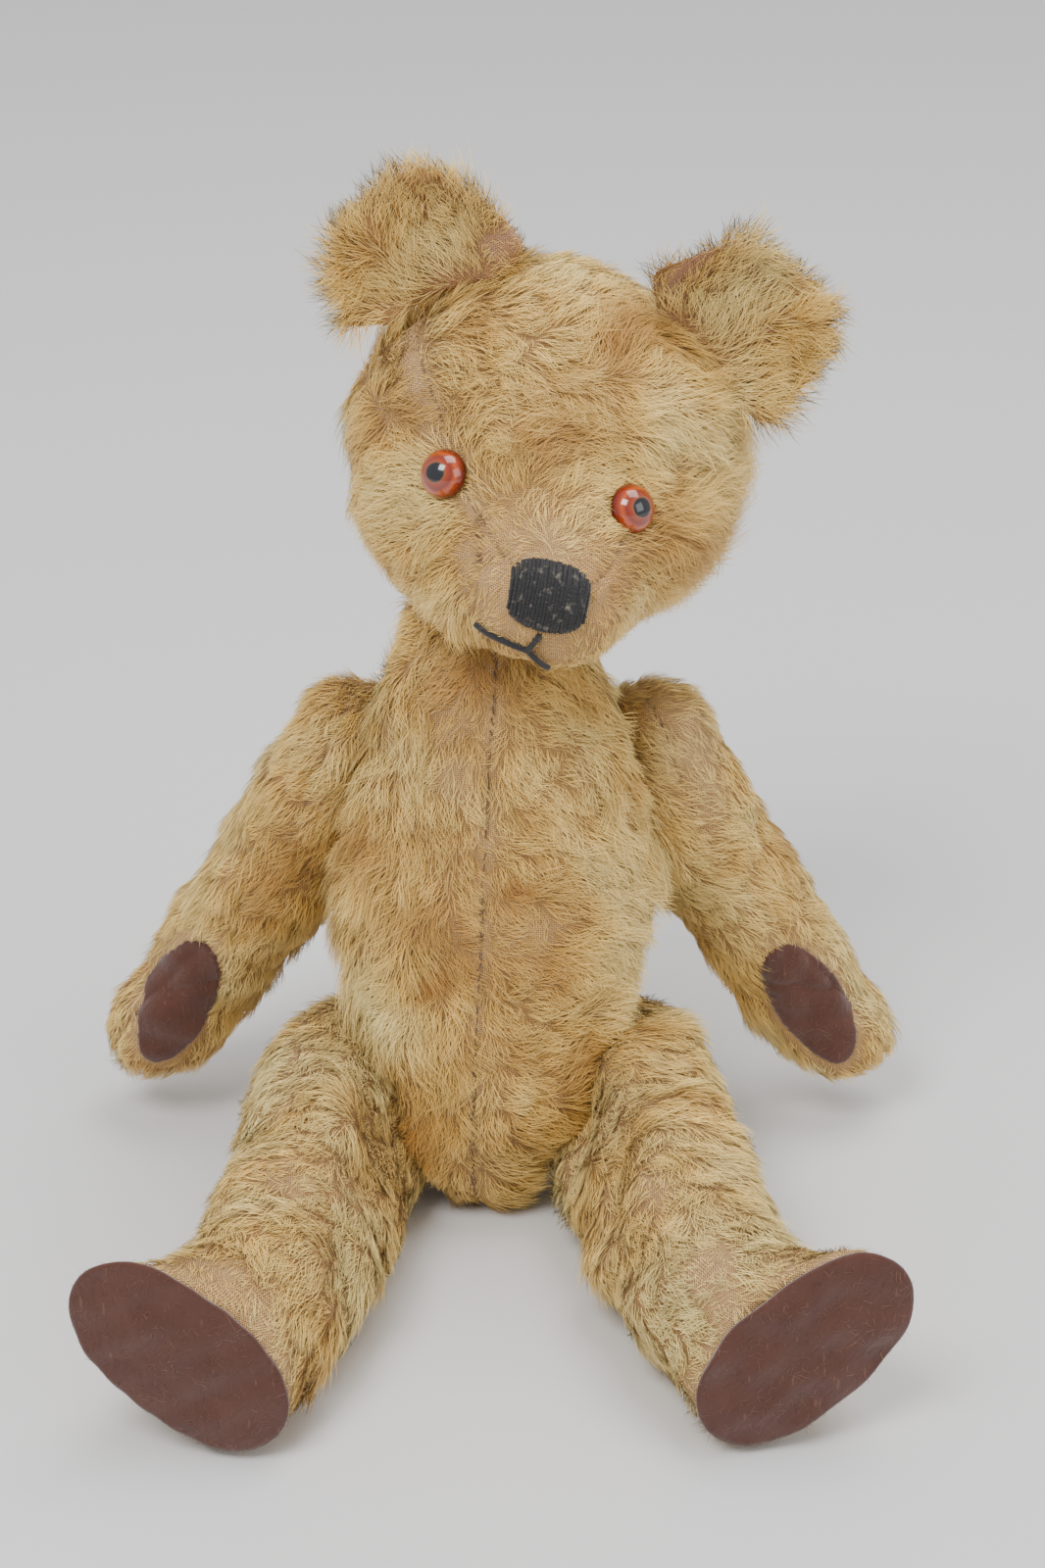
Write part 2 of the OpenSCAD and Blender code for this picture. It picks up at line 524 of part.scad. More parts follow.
// Share of an arm's span at which the paw pad starts, with its top rounded across the arm
function pad_start(a) =
    let(from = arm_caps[0] - arm_top, s = arm_length - pad_length * (1 - 0.3 * pow((a - 180) / 90, 2)))
    CAP_SHARE + (1 - 2 * CAP_SHARE) * (s - from) / (arm_length - arm_caps[1] - from);
module limb_panel(grid_at, depth, side) sheet_solid(grid_at(0), grid_at(depth), side == LEFT);
module arm_outer(side) {
    color("burlywood") limb_panel(function(d)
        [for (u = steps(0, 1, 17)) [for (a = steps(OUTER[0], OUTER[1], 9)) arm_point(side, u, a, d)]], cloth, side);
}
module arm_inner(side) {
    color("burlywood") difference() {
        limb_panel(function(d) [for (t = steps(0, 1, 12)) [for (a = steps(INNER[0], INNER[1], 9))
            arm_point(side, t * pad_start(a), a, d)]], cloth, side);
        pin_hole(arm_fr(side));
    }
}
module paw_pad(side) {
    share_gap = seam_gap / arm_length;
    color("saddlebrown") limb_panel(function(d) [for (t = steps(0, 1, 8)) [for (a = steps(INNER[0], INNER[1], 9))
        arm_point(side, mix(pad_start(a) + share_gap, 1, t), a, d)]], felt, side);
}
module arm_stuffing(side) {
    color("wheat") difference() {
        ring_solid([for (u = steps(0, 1, 13)) [for (a = steps(0, 337.5, 15))
            arm_point(side, u, a, felt + pack_gap)]], side == LEFT);
        outer_pocket(arm_fr(side), small_disc_d);
    }
}
module arm_left_outer() arm_outer(LEFT);
module arm_left_inner() arm_inner(LEFT);
module paw_pad_left() paw_pad(LEFT);
module arm_left_stuffing() arm_stuffing(LEFT);
module shoulder_disc_outer_left() outer_disc(arm_fr(LEFT), small_disc_d);
module shoulder_washer_left() outer_washer(arm_fr(LEFT));
module shoulder_pin_left() cotter_pin(arm_fr(LEFT));
module arm_right_outer() arm_outer(RIGHT);
module arm_right_inner() arm_inner(RIGHT);
module paw_pad_right() paw_pad(RIGHT);
module arm_right_stuffing() arm_stuffing(RIGHT);
module shoulder_disc_outer_right() outer_disc(arm_fr(RIGHT), small_disc_d);
module shoulder_washer_right() outer_washer(arm_fr(RIGHT));
module shoulder_pin_right() cotter_pin(arm_fr(RIGHT));

// ---- Legs ----
module leg_panel(side, edges) limb_panel(function(d)
    [for (u = steps(0, 1, 17)) [for (a = steps(edges[0], edges[1], 10)) leg_point(side, u, a, d)]], cloth, side);
module leg_outer(side) color("burlywood") leg_panel(side, OUTER);
module leg_inner(side) color("burlywood") difference() {
    leg_panel(side, INNER);
    pin_hole(leg_fr(side));
}
module sole(side) {
    rim = function(s) [for (a = steps(0, 351, 39))
        let(c = section(leg_table(0), s, a, 1, 0)) press(place(leg_fr(side), [c[0], c[1], -s]), [floor_plane], 0)];
    color("saddlebrown") ring_solid([rim(leg_length - felt + 0.05), rim(leg_length)], side == LEFT);
}
module leg_stuffing(side) {
    color("wheat") difference() {
        ring_solid([for (u = steps(0, 1, 15)) [for (a = steps(0, 342, 18))
            leg_point(side, u, a, cloth + pack_gap, fill_gap)]], side == LEFT);
        outer_pocket(leg_fr(side), big_disc_d);
    }
}
module leg_left_outer() leg_outer(LEFT);
module leg_left_inner() leg_inner(LEFT);
module sole_left() sole(LEFT);
module leg_left_stuffing() leg_stuffing(LEFT);
module hip_disc_outer_left() outer_disc(leg_fr(LEFT), big_disc_d);
module hip_washer_left() outer_washer(leg_fr(LEFT));
module hip_pin_left() cotter_pin(leg_fr(LEFT));
module leg_right_outer() leg_outer(RIGHT);
module leg_right_inner() leg_inner(RIGHT);
module sole_right() sole(RIGHT);
module leg_right_stuffing() leg_stuffing(RIGHT);
module hip_disc_outer_right() outer_disc(leg_fr(RIGHT), big_disc_d);
module hip_washer_right() outer_washer(leg_fr(RIGHT));
module hip_pin_right() cotter_pin(leg_fr(RIGHT));

torso_skin_left();
torso_skin_right();
torso_stuffing();
front_seam_thread();
neck_disc_lower();
shoulder_disc_inner_left();
shoulder_disc_inner_right();
hip_disc_inner_left();
hip_disc_inner_right();
torso_washers();
head_gusset();
head_side_left();
head_side_right();
head_stuffing();
ear_left_front();
ear_left_back();
ear_right_front();
ear_right_back();
eye_left_glass();
eye_left_pupil();
eye_left_wire();
eye_right_glass();
eye_right_pupil();
eye_right_wire();
nose_stitching();
mouth_stitching();
neck_disc_upper();
neck_washer();
neck_cotter_pin();
arm_left_outer();
arm_left_inner();
paw_pad_left();
arm_left_stuffing();
shoulder_disc_outer_left();
shoulder_washer_left();
shoulder_pin_left();
arm_right_outer();
arm_right_inner();
paw_pad_right();
arm_right_stuffing();
shoulder_disc_outer_right();
shoulder_washer_right();
shoulder_pin_right();
leg_left_outer();
leg_left_inner();
sole_left();
leg_left_stuffing();
hip_disc_outer_left();
hip_washer_left();
hip_pin_left();
leg_right_outer();
leg_right_inner();
sole_right();
leg_right_stuffing();
hip_disc_outer_right();
hip_washer_right();
hip_pin_right();
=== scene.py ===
# Jointed mohair teddy bear: cloth, pile, felt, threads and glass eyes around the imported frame.
import json
import math

import bmesh
import bpy
import numpy as np
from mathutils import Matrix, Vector
from mathutils.bvhtree import BVHTree


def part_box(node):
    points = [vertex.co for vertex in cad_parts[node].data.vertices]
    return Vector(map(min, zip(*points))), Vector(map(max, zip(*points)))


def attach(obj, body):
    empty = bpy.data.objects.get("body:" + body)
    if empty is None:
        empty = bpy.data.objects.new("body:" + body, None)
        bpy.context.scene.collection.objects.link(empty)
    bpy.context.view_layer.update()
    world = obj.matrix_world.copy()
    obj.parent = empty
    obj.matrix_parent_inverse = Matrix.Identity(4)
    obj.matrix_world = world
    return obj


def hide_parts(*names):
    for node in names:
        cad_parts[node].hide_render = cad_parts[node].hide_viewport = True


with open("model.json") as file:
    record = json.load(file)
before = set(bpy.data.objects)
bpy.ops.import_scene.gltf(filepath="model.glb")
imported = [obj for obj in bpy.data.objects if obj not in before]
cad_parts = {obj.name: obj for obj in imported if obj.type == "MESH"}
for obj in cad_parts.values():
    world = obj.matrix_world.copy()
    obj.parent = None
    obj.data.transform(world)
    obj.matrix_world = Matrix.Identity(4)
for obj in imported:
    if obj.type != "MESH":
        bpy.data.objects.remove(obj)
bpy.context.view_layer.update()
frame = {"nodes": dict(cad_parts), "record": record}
mm = 0.001
sides = ("left", "right")
outward = {"left": 1.0, "right": -1.0}

# camera, floor and light
view = {
    "place": (13.3, -933.5, 595.4),  # mm
    "lookAt": (13.3, 55.2, 113.2),
    "fieldOfView": 25.4,  # degrees, up and down the frame
    "floorSize": 12.0,  # metres
    "floorTone": (0.72, 0.715, 0.715, 1),
    "floorRoughness": 0.75,
    "skyTone": (0.92, 0.915, 0.92, 1),
    "skyStrength": 0.74,
    "lampAim": (0, 0, 0.15),
}


def makeStage():
    camera = bpy.data.objects.new("camera", bpy.data.cameras.new("camera"))
    bpy.context.collection.objects.link(camera)
    place, lookAt = (Vector(view[k]) * mm for k in ("place", "lookAt"))
    camera.location = place
    camera.rotation_euler = (lookAt - place).to_track_quat("-Z", "Y").to_euler()
    camera.data.sensor_fit = "VERTICAL"
    camera.data.sensor_height = 36
    camera.data.lens = 18 / math.tan(math.radians(view["fieldOfView"] / 2))
    camera.data.clip_start = 0.05
    bpy.context.scene.camera = camera

    bpy.ops.mesh.primitive_plane_add(size=view["floorSize"])
    floor = bpy.context.object
    floor.name = "floor"
    floorPaint = bpy.data.materials.new("floorPaint")
    floorPaint.use_nodes = True
    shader = floorPaint.node_tree.nodes["Principled BSDF"]
    shader.inputs["Base Color"].default_value = view["floorTone"]
    shader.inputs["Roughness"].default_value = view["floorRoughness"]
    floor.data.materials.append(floorPaint)

    world = bpy.data.worlds.new("studio")
    bpy.context.scene.world = world
    world.use_nodes = True
    world.node_tree.nodes["Background"].inputs[0].default_value = view["skyTone"]
    world.node_tree.nodes["Background"].inputs[1].default_value = view["skyStrength"]
    for name, place, size, power in (
        ("keyLight", (-0.7, -1.2, 1.9), 0.9, 38),
        ("topLight", (0.5, 0.2, 2.2), 1.3, 27),
        ("fillLight", (1.6, -1.2, 1.0), 1.2, 10),
    ):
        lamp = bpy.data.objects.new(name, bpy.data.lights.new(name, "AREA"))
        lamp.data.size = size
        lamp.data.energy = power
        lamp.location = place
        lamp.rotation_euler = (Vector(view["lampAim"]) - Vector(place)).to_track_quat("-Z", "Y").to_euler()
        bpy.context.collection.objects.link(lamp)


makeStage()
print("stage set")


# node helpers
def addNode(tree, kind, inputs=None, **settings):
    node = tree.nodes.new(kind)
    for key, value in settings.items():
        setattr(node, key, value)
    for key, value in (inputs or {}).items():
        feed(tree, value, node.inputs[key])
    return node


def feed(tree, value, socket):
    if isinstance(value, bpy.types.NodeSocket):
        tree.links.new(value, socket)
    else:
        socket.default_value = value


def math1(tree, operation, a, b=0.0, clamp=False):
    return addNode(tree, "ShaderNodeMath", {0: a, 1: b}, operation=operation, use_clamp=clamp).outputs[0]


def vec(tree, operation, a, b=None, scale=None):
    node = addNode(tree, "ShaderNodeVectorMath", {0: a}, operation=operation)
    if b is not None:
        feed(tree, b, node.inputs[1])
    if scale is not None:
        feed(tree, scale, node.inputs["Scale"])
    scalarOut = operation in ("DOT_PRODUCT", "LENGTH", "DISTANCE")
    return node.outputs["Value" if scalarOut else "Vector"]


def newMaterial(name, roughness=0.6, **constants):
    material = bpy.data.materials.new(name)
    material.use_nodes = True
    shader = material.node_tree.nodes["Principled BSDF"]
    shader.inputs["Roughness"].default_value = roughness
    for key, value in constants.items():
        shader.inputs[key].default_value = value
    return material, material.node_tree, shader


def ramp(tree, fac, stops):
    node = addNode(tree, "ShaderNodeValToRGB", {0: fac})
    elements = node.color_ramp.elements
    while len(elements) < len(stops):
        elements.new(0.5)
    for element, (place, tone) in zip(elements, stops):
        element.position = place
        element.color = (*tone, 1) if isinstance(tone, tuple) else (tone, tone, tone, 1)
    return node.outputs[0]


def mixTone(tree, fac, a, b, blend="MIX"):
    node = addNode(tree, "ShaderNodeMix", data_type="RGBA", blend_type=blend)
    for value, socket in ((fac, 0), (a, 6), (b, 7)):
        feed(tree, value, node.inputs[socket])
    return node.outputs[2]


def attribute(tree, name):
    return addNode(tree, "ShaderNodeAttribute", attribute_name=name).outputs["Fac"]


def objectPoint(tree):
    return addNode(tree, "ShaderNodeTexCoord").outputs["Object"]


def noise(tree, point, pitch, detail=3.0, roughness=0.5):
    return addNode(
        tree,
        "ShaderNodeTexNoise",
        {"Vector": point, "Scale": 1 / pitch, "Detail": detail, "Roughness": roughness},
    ).outputs[0]


def bump(tree, height, strength, distance):
    return addNode(
        tree, "ShaderNodeBump", {"Height": height, "Strength": strength, "Distance": distance}
    ).outputs[0]


# shader groups
def newGroup(name, inputs, outputs):
    group = bpy.data.node_groups.new(name, "ShaderNodeTree")
    for direction, sockets in (("INPUT", inputs), ("OUTPUT", outputs)):
        for socketName, kind, start in sockets:
            socket = group.interface.new_socket(socketName, in_out=direction, socket_type=kind)
            if start is not None:
                socket.default_value = start
    return group, group.nodes.new("NodeGroupInput"), group.nodes.new("NodeGroupOutput")


def makeWeaveGroup():
    # plain weave on whichever two object axes the cloth faces, with slubs
    group, entry, leave = newGroup(
        "plainWeave",
        [("Pitch", "NodeSocketFloat", 0.0011), ("Uneven", "NodeSocketFloat", 0.5)],
        [("Height", "NodeSocketFloat", None), ("HoleShade", "NodeSocketFloat", None)],
    )
    coords = addNode(group, "ShaderNodeTexCoord")
    wobble = addNode(
        group, "ShaderNodeTexNoise", {"Vector": coords.outputs["Object"], "Scale": 160.0, "Detail": 1.0}
    ).outputs[1]
    wobble = vec(group, "SCALE", vec(group, "SUBTRACT", wobble, (0.5, 0.5, 0.5)), scale=0.0012)
    at = addNode(
        group, "ShaderNodeSeparateXYZ", {0: vec(group, "ADD", coords.outputs["Object"], wobble)}
    ).outputs
    facing = addNode(
        group, "ShaderNodeSeparateXYZ", {0: vec(group, "ABSOLUTE", coords.outputs["Normal"])}
    ).outputs
    sideways = math1(group, "GREATER_THAN", facing[0], 0.72)
    upward = math1(group, "GREATER_THAN", facing[2], 0.8)
    along = addNode(group, "ShaderNodeMix", {0: sideways, 2: at[0], 3: at[1]}, data_type="FLOAT").outputs[0]
    across = addNode(group, "ShaderNodeMix", {0: upward, 2: at[2], 3: at[1]}, data_type="FLOAT").outputs[0]
    turns = math1(group, "DIVIDE", 2 * math.pi, entry.outputs["Pitch"])
    warp = math1(group, "SINE", math1(group, "MULTIPLY", along, turns))
    weft = math1(group, "SINE", math1(group, "MULTIPLY", across, turns))
    warpAbs, weftAbs = math1(group, "ABSOLUTE", warp), math1(group, "ABSOLUTE", weft)
    over = math1(group, "GREATER_THAN", math1(group, "MULTIPLY", warp, weft), 0.0)
    height = addNode(group, "ShaderNodeMix", {0: over, 2: warpAbs, 3: weftAbs}, data_type="FLOAT").outputs[0]
    # gaps between the yarns, which the cloth material darkens as painted shade
    holeShade = math1(group, "SUBTRACT", 1.0, math1(group, "MAXIMUM", warpAbs, weftAbs))
    slub = math1(group, "MULTIPLY", noise(group, coords.outputs["Object"], 0.004, 2), entry.outputs["Uneven"])
    group.links.new(math1(group, "ADD", height, slub), leave.inputs["Height"])
    group.links.new(math1(group, "MULTIPLY", holeShade, 2.2, clamp=True), leave.inputs["HoleShade"])
    return group


def makeFeltGroup():
    # matted fibres: two stretched noises and a fine grain
    group, entry, leave = newGroup(
        "mattedWool",
        [("Fibre", "NodeSocketFloat", 0.0016)],
        [("Height", "NodeSocketFloat", None), ("Fleck", "NodeSocketFloat", None)],
    )
    point = objectPoint(group)
    turned = addNode(
        group, "ShaderNodeVectorRotate", {0: point, "Angle": 0.9}, rotation_type="Y_AXIS"
    ).outputs[0]
    layers = []
    for start, stretch in ((point, (1, 1, 6)), (turned, (6, 1, 1))):
        long = vec(group, "DIVIDE", start, stretch)
        scaled = vec(group, "SCALE", long, scale=math1(group, "DIVIDE", 1.0, entry.outputs["Fibre"]))
        layers.append(
            addNode(group, "ShaderNodeTexNoise", {"Vector": scaled, "Scale": 1.0, "Detail": 4.0}).outputs[0]
        )
    both = math1(group, "MULTIPLY", math1(group, "ADD", layers[0], layers[1]), 0.5)
    group.links.new(both, leave.inputs["Height"])
    group.links.new(math1(group, "GREATER_THAN", layers[0], 0.68), leave.inputs["Fleck"])
    return group


weaveGroup = makeWeaveGroup()
feltGroup = makeFeltGroup()


# materials
mohair = {
    # the root tone is painted shade that falls between the strands
    "rootShadeTone": (0.46, 0.235, 0.058),
    "midTone": (0.93, 0.565, 0.135),
    "tipTone": (1.0, 0.735, 0.255),
    "brownTone": (0.50, 0.235, 0.052),
    "yellowTone": (1.0, 0.79, 0.32),
}


pileShade = {"coatShare": 1.1}


def makePileMaterial():
    material, tree, shader = newMaterial(
        "mohairPile", 0.5, **{
            "Sheen Weight": 0.4,
            "Sheen Roughness": 0.45,
            "Sheen Tint": (1.0, 0.86, 0.6, 1.0),
            "Specular IOR Level": 0.3,
        }
    )
    # pile colour along each strand: dark at the root as painted shade between the strands, honey in the
    # middle, pale at the tip
    tone = ramp(
        tree,
        attribute(tree, "tip"),
        [(0.0, mohair["rootShadeTone"]), (0.45, mohair["midTone"]), (1.0, mohair["tipTone"])],
    )
    patch = attribute(tree, "tone")
    brown = math1(tree, "MULTIPLY", math1(tree, "MAXIMUM", patch, 0.0), 0.75, clamp=True)
    yellow = math1(
        tree, "MULTIPLY", math1(tree, "MAXIMUM", math1(tree, "MULTIPLY", patch, -1.0), 0.0), 0.6, clamp=True
    )
    tone = mixTone(tree, brown, tone, (*mohair["brownTone"], 1))
    tone = mixTone(tree, yellow, tone, (*mohair["yellowTone"], 1))
    each = addNode(
        tree, "ShaderNodeMapRange", {0: attribute(tree, "strandTint"), 1: 0.0, 2: 1.0, 3: 0.78, 4: 1.18}
    ).outputs[0]
    grey = addNode(tree, "ShaderNodeCombineColor", {0: each, 1: each, 2: each}).outputs[0]
    # strands are lit partly as the coat they lie in
    coatUp = addNode(tree, "ShaderNodeAttribute", attribute_name="rootUp").outputs["Vector"]
    coatUp = addNode(
        tree,
        "ShaderNodeVectorTransform",
        {0: coatUp},
        vector_type="NORMAL",
        convert_from="OBJECT",
        convert_to="WORLD",
    ).outputs[0]
    ribbonUp = addNode(tree, "ShaderNodeNewGeometry").outputs["Normal"]
    lit = vec(tree, "ADD", vec(tree, "SCALE", coatUp, scale=pileShade["coatShare"]), ribbonUp)
    tree.links.new(vec(tree, "NORMALIZE", lit), shader.inputs["Normal"])
    tree.links.new(mixTone(tree, 1.0, tone, grey, "MULTIPLY"), shader.inputs["Base Color"])
    return material


def makeClothMaterial(name, bareTone, warmTone):
    material, tree, shader = newMaterial(name, 0.85, **{"Sheen Weight": 0.15, "Specular IOR Level": 0.2})
    weave = addNode(tree, "ShaderNodeGroup", node_tree=weaveGroup)
    point = objectPoint(tree)
    tone = mixTone(tree, noise(tree, point, 0.02, 3), (*bareTone, 1), (*warmTone, 1))
    # painted shade in the gaps between the yarns of the weave
    tone = mixTone(
        tree, math1(tree, "MULTIPLY", weave.outputs["HoleShade"], 0.8), tone, (
            bareTone[0] * 0.45, bareTone[1] * 0.36, bareTone[2] * 0.28, 1
        )
    )
    # painted shade: the cloth goes toward the dark root tone where the pile covers it
    underPileShade = addNode(
        tree, "ShaderNodeMapRange", {0: attribute(tree, "bare"), 1: 0.0, 2: 0.8, 3: 0.75, 4: 0.0}
    ).outputs[0]
    tone = mixTone(tree, underPileShade, tone, (*mohair["rootShadeTone"], 1))
    seam = addNode(
        tree, "ShaderNodeMapRange", {0: attribute(tree, "seam"), 1: 0.0003, 2: 0.0011, 3: 0.75, 4: 0.0}
    ).outputs[0]
    tone = mixTone(tree, seam, tone, (0.12, 0.06, 0.025, 1))
    stain = attribute(tree, "stain")
    tone = mixTone(tree, math1(tree, "MULTIPLY", stain, 1.0, clamp=True), tone, (0.09, 0.03, 0.012, 1))
    tree.links.new(tone, shader.inputs["Base Color"])
    tree.links.new(bump(tree, weave.outputs["Height"], 1.0, 0.0006), shader.inputs["Normal"])
    return material


def makeFeltMaterial():
    material, tree, shader = newMaterial(
        "brownFelt", 0.95, **{"Sheen Weight": 0.35, "Sheen Roughness": 0.5, "Specular IOR Level": 0.15}
    )
    wool = addNode(tree, "ShaderNodeGroup", node_tree=feltGroup)
    point = objectPoint(tree)
    tone = mixTone(
        tree, noise(tree, point, 0.012, 4, 0.6), (0.060, 0.022, 0.015, 1), (0.108, 0.044, 0.031, 1)
    )
    tone = mixTone(tree, math1(tree, "MULTIPLY", wool.outputs["Fleck"], 0.5), tone, (0.17, 0.08, 0.058, 1))
    tree.links.new(tone, shader.inputs["Base Color"])
    tree.links.new(bump(tree, wool.outputs["Height"], 0.9, 0.0006), shader.inputs["Normal"])
    return material


def makeThreadMaterial(name, tone, wornTone, wear):
    material, tree, shader = newMaterial(name, 0.55, **{"Sheen Weight": 0.2, "Specular IOR Level": 0.35})
    point = objectPoint(tree)
    worn = ramp(tree, noise(tree, point, 0.0028, 4, 0.6), [(0.62 - wear, 0.0), (0.80 - wear, 1.0)])
    tree.links.new(mixTone(tree, worn, (*tone, 1), (*wornTone, 1)), shader.inputs["Base Color"])
    twist = addNode(
        tree, "ShaderNodeTexWave", {
            "Vector": point, "Scale": 900.0, "Distortion": 2.0
        }, bands_direction="DIAGONAL"
    ).outputs[1]
    tree.links.new(bump(tree, twist, 0.5, 0.0002), shader.inputs["Normal"])
    return material


def makeHardwareMaterials():
    made = {}
    material, tree, shader = newMaterial("fibreboard", 0.8)
    point = objectPoint(tree)
    grain = noise(tree, point, 0.0012, 5, 0.7)
    tree.links.new(
        mixTone(tree, grain, (0.10, 0.055, 0.028, 1), (0.24, 0.14, 0.075, 1)), shader.inputs["Base Color"]
    )
    tree.links.new(bump(tree, grain, 0.4, 0.0003), shader.inputs["Normal"])
    made["hardboard"] = material
    material, tree, shader = newMaterial("drawnSteel", 0.35, Metallic=1.0)
    point = objectPoint(tree)
    rust = ramp(tree, noise(tree, point, 0.004, 4), [(0.5, 0.0), (0.72, 1.0)])
    tree.links.new(
        mixTone(tree, rust, (0.48, 0.47, 0.45, 1), (0.24, 0.15, 0.10, 1)), shader.inputs["Base Color"]
    )
    tree.links.new(
        addNode(
            tree, "ShaderNodeMapRange", {0: rust, 1: 0.0, 2: 1.0, 3: 0.3, 4: 0.7}
        ).outputs[0], shader.inputs["Roughness"]
    )
    made["steel"] = material
    return made


pile = makePileMaterial()
backing = makeClothMaterial("mohairBacking", (0.78, 0.46, 0.175), (0.90, 0.55, 0.23))
earBacking = makeClothMaterial("earBacking", (0.74, 0.40, 0.19), (0.84, 0.42, 0.24))
felt = makeFeltMaterial()
blackThread = makeThreadMaterial("noseThread", (0.011, 0.010, 0.011), (0.19, 0.165, 0.13), 0.06)
brownThread = makeThreadMaterial("seamThread", (0.10, 0.055, 0.03), (0.22, 0.13, 0.07), 0.0)
hardware = makeHardwareMaterials()
print("materials made")


# cloth bodies
def cadSoup(*nodes):
    points, faces = [], []
    for node in nodes:
        mesh = frame["nodes"][node].data
        start = sum(len(p) for p in points)
        at = np.empty(len(mesh.vertices) * 3)
        mesh.vertices.foreach_get("co", at)
        points.append(at.reshape(-1, 3))
        faces += [[start + i for i in polygon.vertices] for polygon in mesh.polygons]
    return np.vstack(points), faces


def newPiece(name, mesh):
    piece = bpy.data.objects.new(name, mesh)
    bpy.context.collection.objects.link(piece)
    return piece


def applied(piece):
    bpy.context.view_layer.update()
    ready = piece.evaluated_get(bpy.context.evaluated_depsgraph_get())
    mesh = bpy.data.meshes.new_from_object(
        ready, preserve_all_data_layers=True, depsgraph=bpy.context.evaluated_depsgraph_get()
    )
    old = piece.data
    piece.modifiers.clear()
    piece.data = mesh
    bpy.data.meshes.remove(old)
    return piece


def roundedCopy(name, nodes, voxel, smoothing):
    bm = bmesh.new()
    for node in nodes:
        bm.from_mesh(frame["nodes"][node].data)
    bmesh.ops.remove_doubles(bm, verts=bm.verts, dist=1e-6)
    mesh = bpy.data.meshes.new(name)
    bm.to_mesh(mesh)
    bm.free()
    piece = newPiece(name, mesh)
    remesh = piece.modifiers.new("remesh", "REMESH")
    remesh.mode = "VOXEL"
    remesh.voxel_size = voxel
    smooth = piece.modifiers.new("smooth", "SMOOTH")
    smooth.factor = 0.6
    smooth.iterations = smoothing
    applied(piece)
    keepLargest(piece.data)
    piece.data.polygons.foreach_set("use_smooth", [True] * len(piece.data.polygons))
    return piece


def keepLargest(mesh):
    # inner shells left by the remesh are dropped
    edges = np.empty(len(mesh.edges) * 2, dtype=np.int64)
    mesh.edges.foreach_get("vertices", edges)
    edges = edges.reshape(-1, 2)
    label = np.arange(len(mesh.vertices))
    while True:
        low = np.minimum(label[edges[:, 0]], label[edges[:, 1]])
        fresh = label.copy()
        np.minimum.at(fresh, edges[:, 0], low)
        np.minimum.at(fresh, edges[:, 1], low)
        fresh = fresh[fresh]
        if (fresh == label).all():
            break
        label = fresh
    names, counts = np.unique(label, return_counts=True)
    drop = label != names[counts.argmax()]
    if drop.any():
        bm = bmesh.new()
        bm.from_mesh(mesh)
        bm.verts.ensure_lookup_table()
        bmesh.ops.delete(bm, geom=[bm.verts[i] for i in np.flatnonzero(drop)], context="VERTS")
        bm.to_mesh(mesh)
        bm.free()


def pointsOf(mesh):
    at = np.empty(len(mesh.vertices) * 3)
    mesh.vertices.foreach_get("co", at)
    up = np.empty(len(mesh.vertices) * 3)
    mesh.vertex_normals.foreach_get("vector", up)
    return at.reshape(-1, 3), up.reshape(-1, 3)


def setPoints(mesh, at):
    mesh.vertices.foreach_set("co", at.ravel())
    mesh.update()


def setField(mesh, name, values):
    kind = "FLOAT_VECTOR" if values.ndim == 2 else "FLOAT"
    field = mesh.attributes.get(name) or mesh.attributes.new(name, kind, "POINT")
    field.data.foreach_set("vector" if values.ndim == 2 else "value", values.astype(np.float32).ravel())


def ripple(at, pitch, seed, waves=10):
    # smooth noise with no grid: a fixed set of slanted sine waves
    draw = np.random.default_rng(seed)
    turn = draw.normal(size=(waves, 3))
    turn *= (2 * math.pi / pitch * draw.uniform(0.6, 1.4, waves) / np.linalg.norm(turn, axis=1))[:, None]
    return np.sin(at @ turn.T + draw.uniform(0, 2 * math.pi, waves)).sum(1) / math.sqrt(waves / 2)


def seamDistance(at, panels):
    # how far each point is from the second nearest cloth panel
    gaps = []
    for panel in panels:
        tree = BVHTree.FromPolygons(*cadSoup(panel))
        gaps.append([tree.find_nearest(p)[3] for p in at.tolist()])
    return np.sort(np.array(gaps), axis=0)[1]


def near(at, spots):
    # 0 to 1 in soft spots given as (x, y, z, radius) or (x, y, z, radius, strength), all in mm
    level = np.zeros(len(at))
    for x, y, z, radius, *strength in spots:
        far = np.linalg.norm(at - np.array((x, y, z)) * mm, axis=1) / (radius * mm)
        level = np.maximum(level, np.clip(1.6 - 1.2 * far, 0, 1) * (strength[0] if strength else 1.0))
    return level


def flat(vectors, up):
    vectors = vectors - up * (vectors * up).sum(1)[:, None]
    return vectors / np.maximum(np.linalg.norm(vectors, axis=1), 1e-9)[:, None]


# pile strands
strandTree = {
    "perSquareMetre": 1.65e6,
    "width": 0.00024,
    "jitter": 0.42,  # radians, each strand about the nap
    "lockSize": 0.0078,  # how wide a lock of pile is
    "lockPull": 0.42,  # how far tips close on the lock's middle
    "rows": 4,
    "floorGap": 0.0003,
}


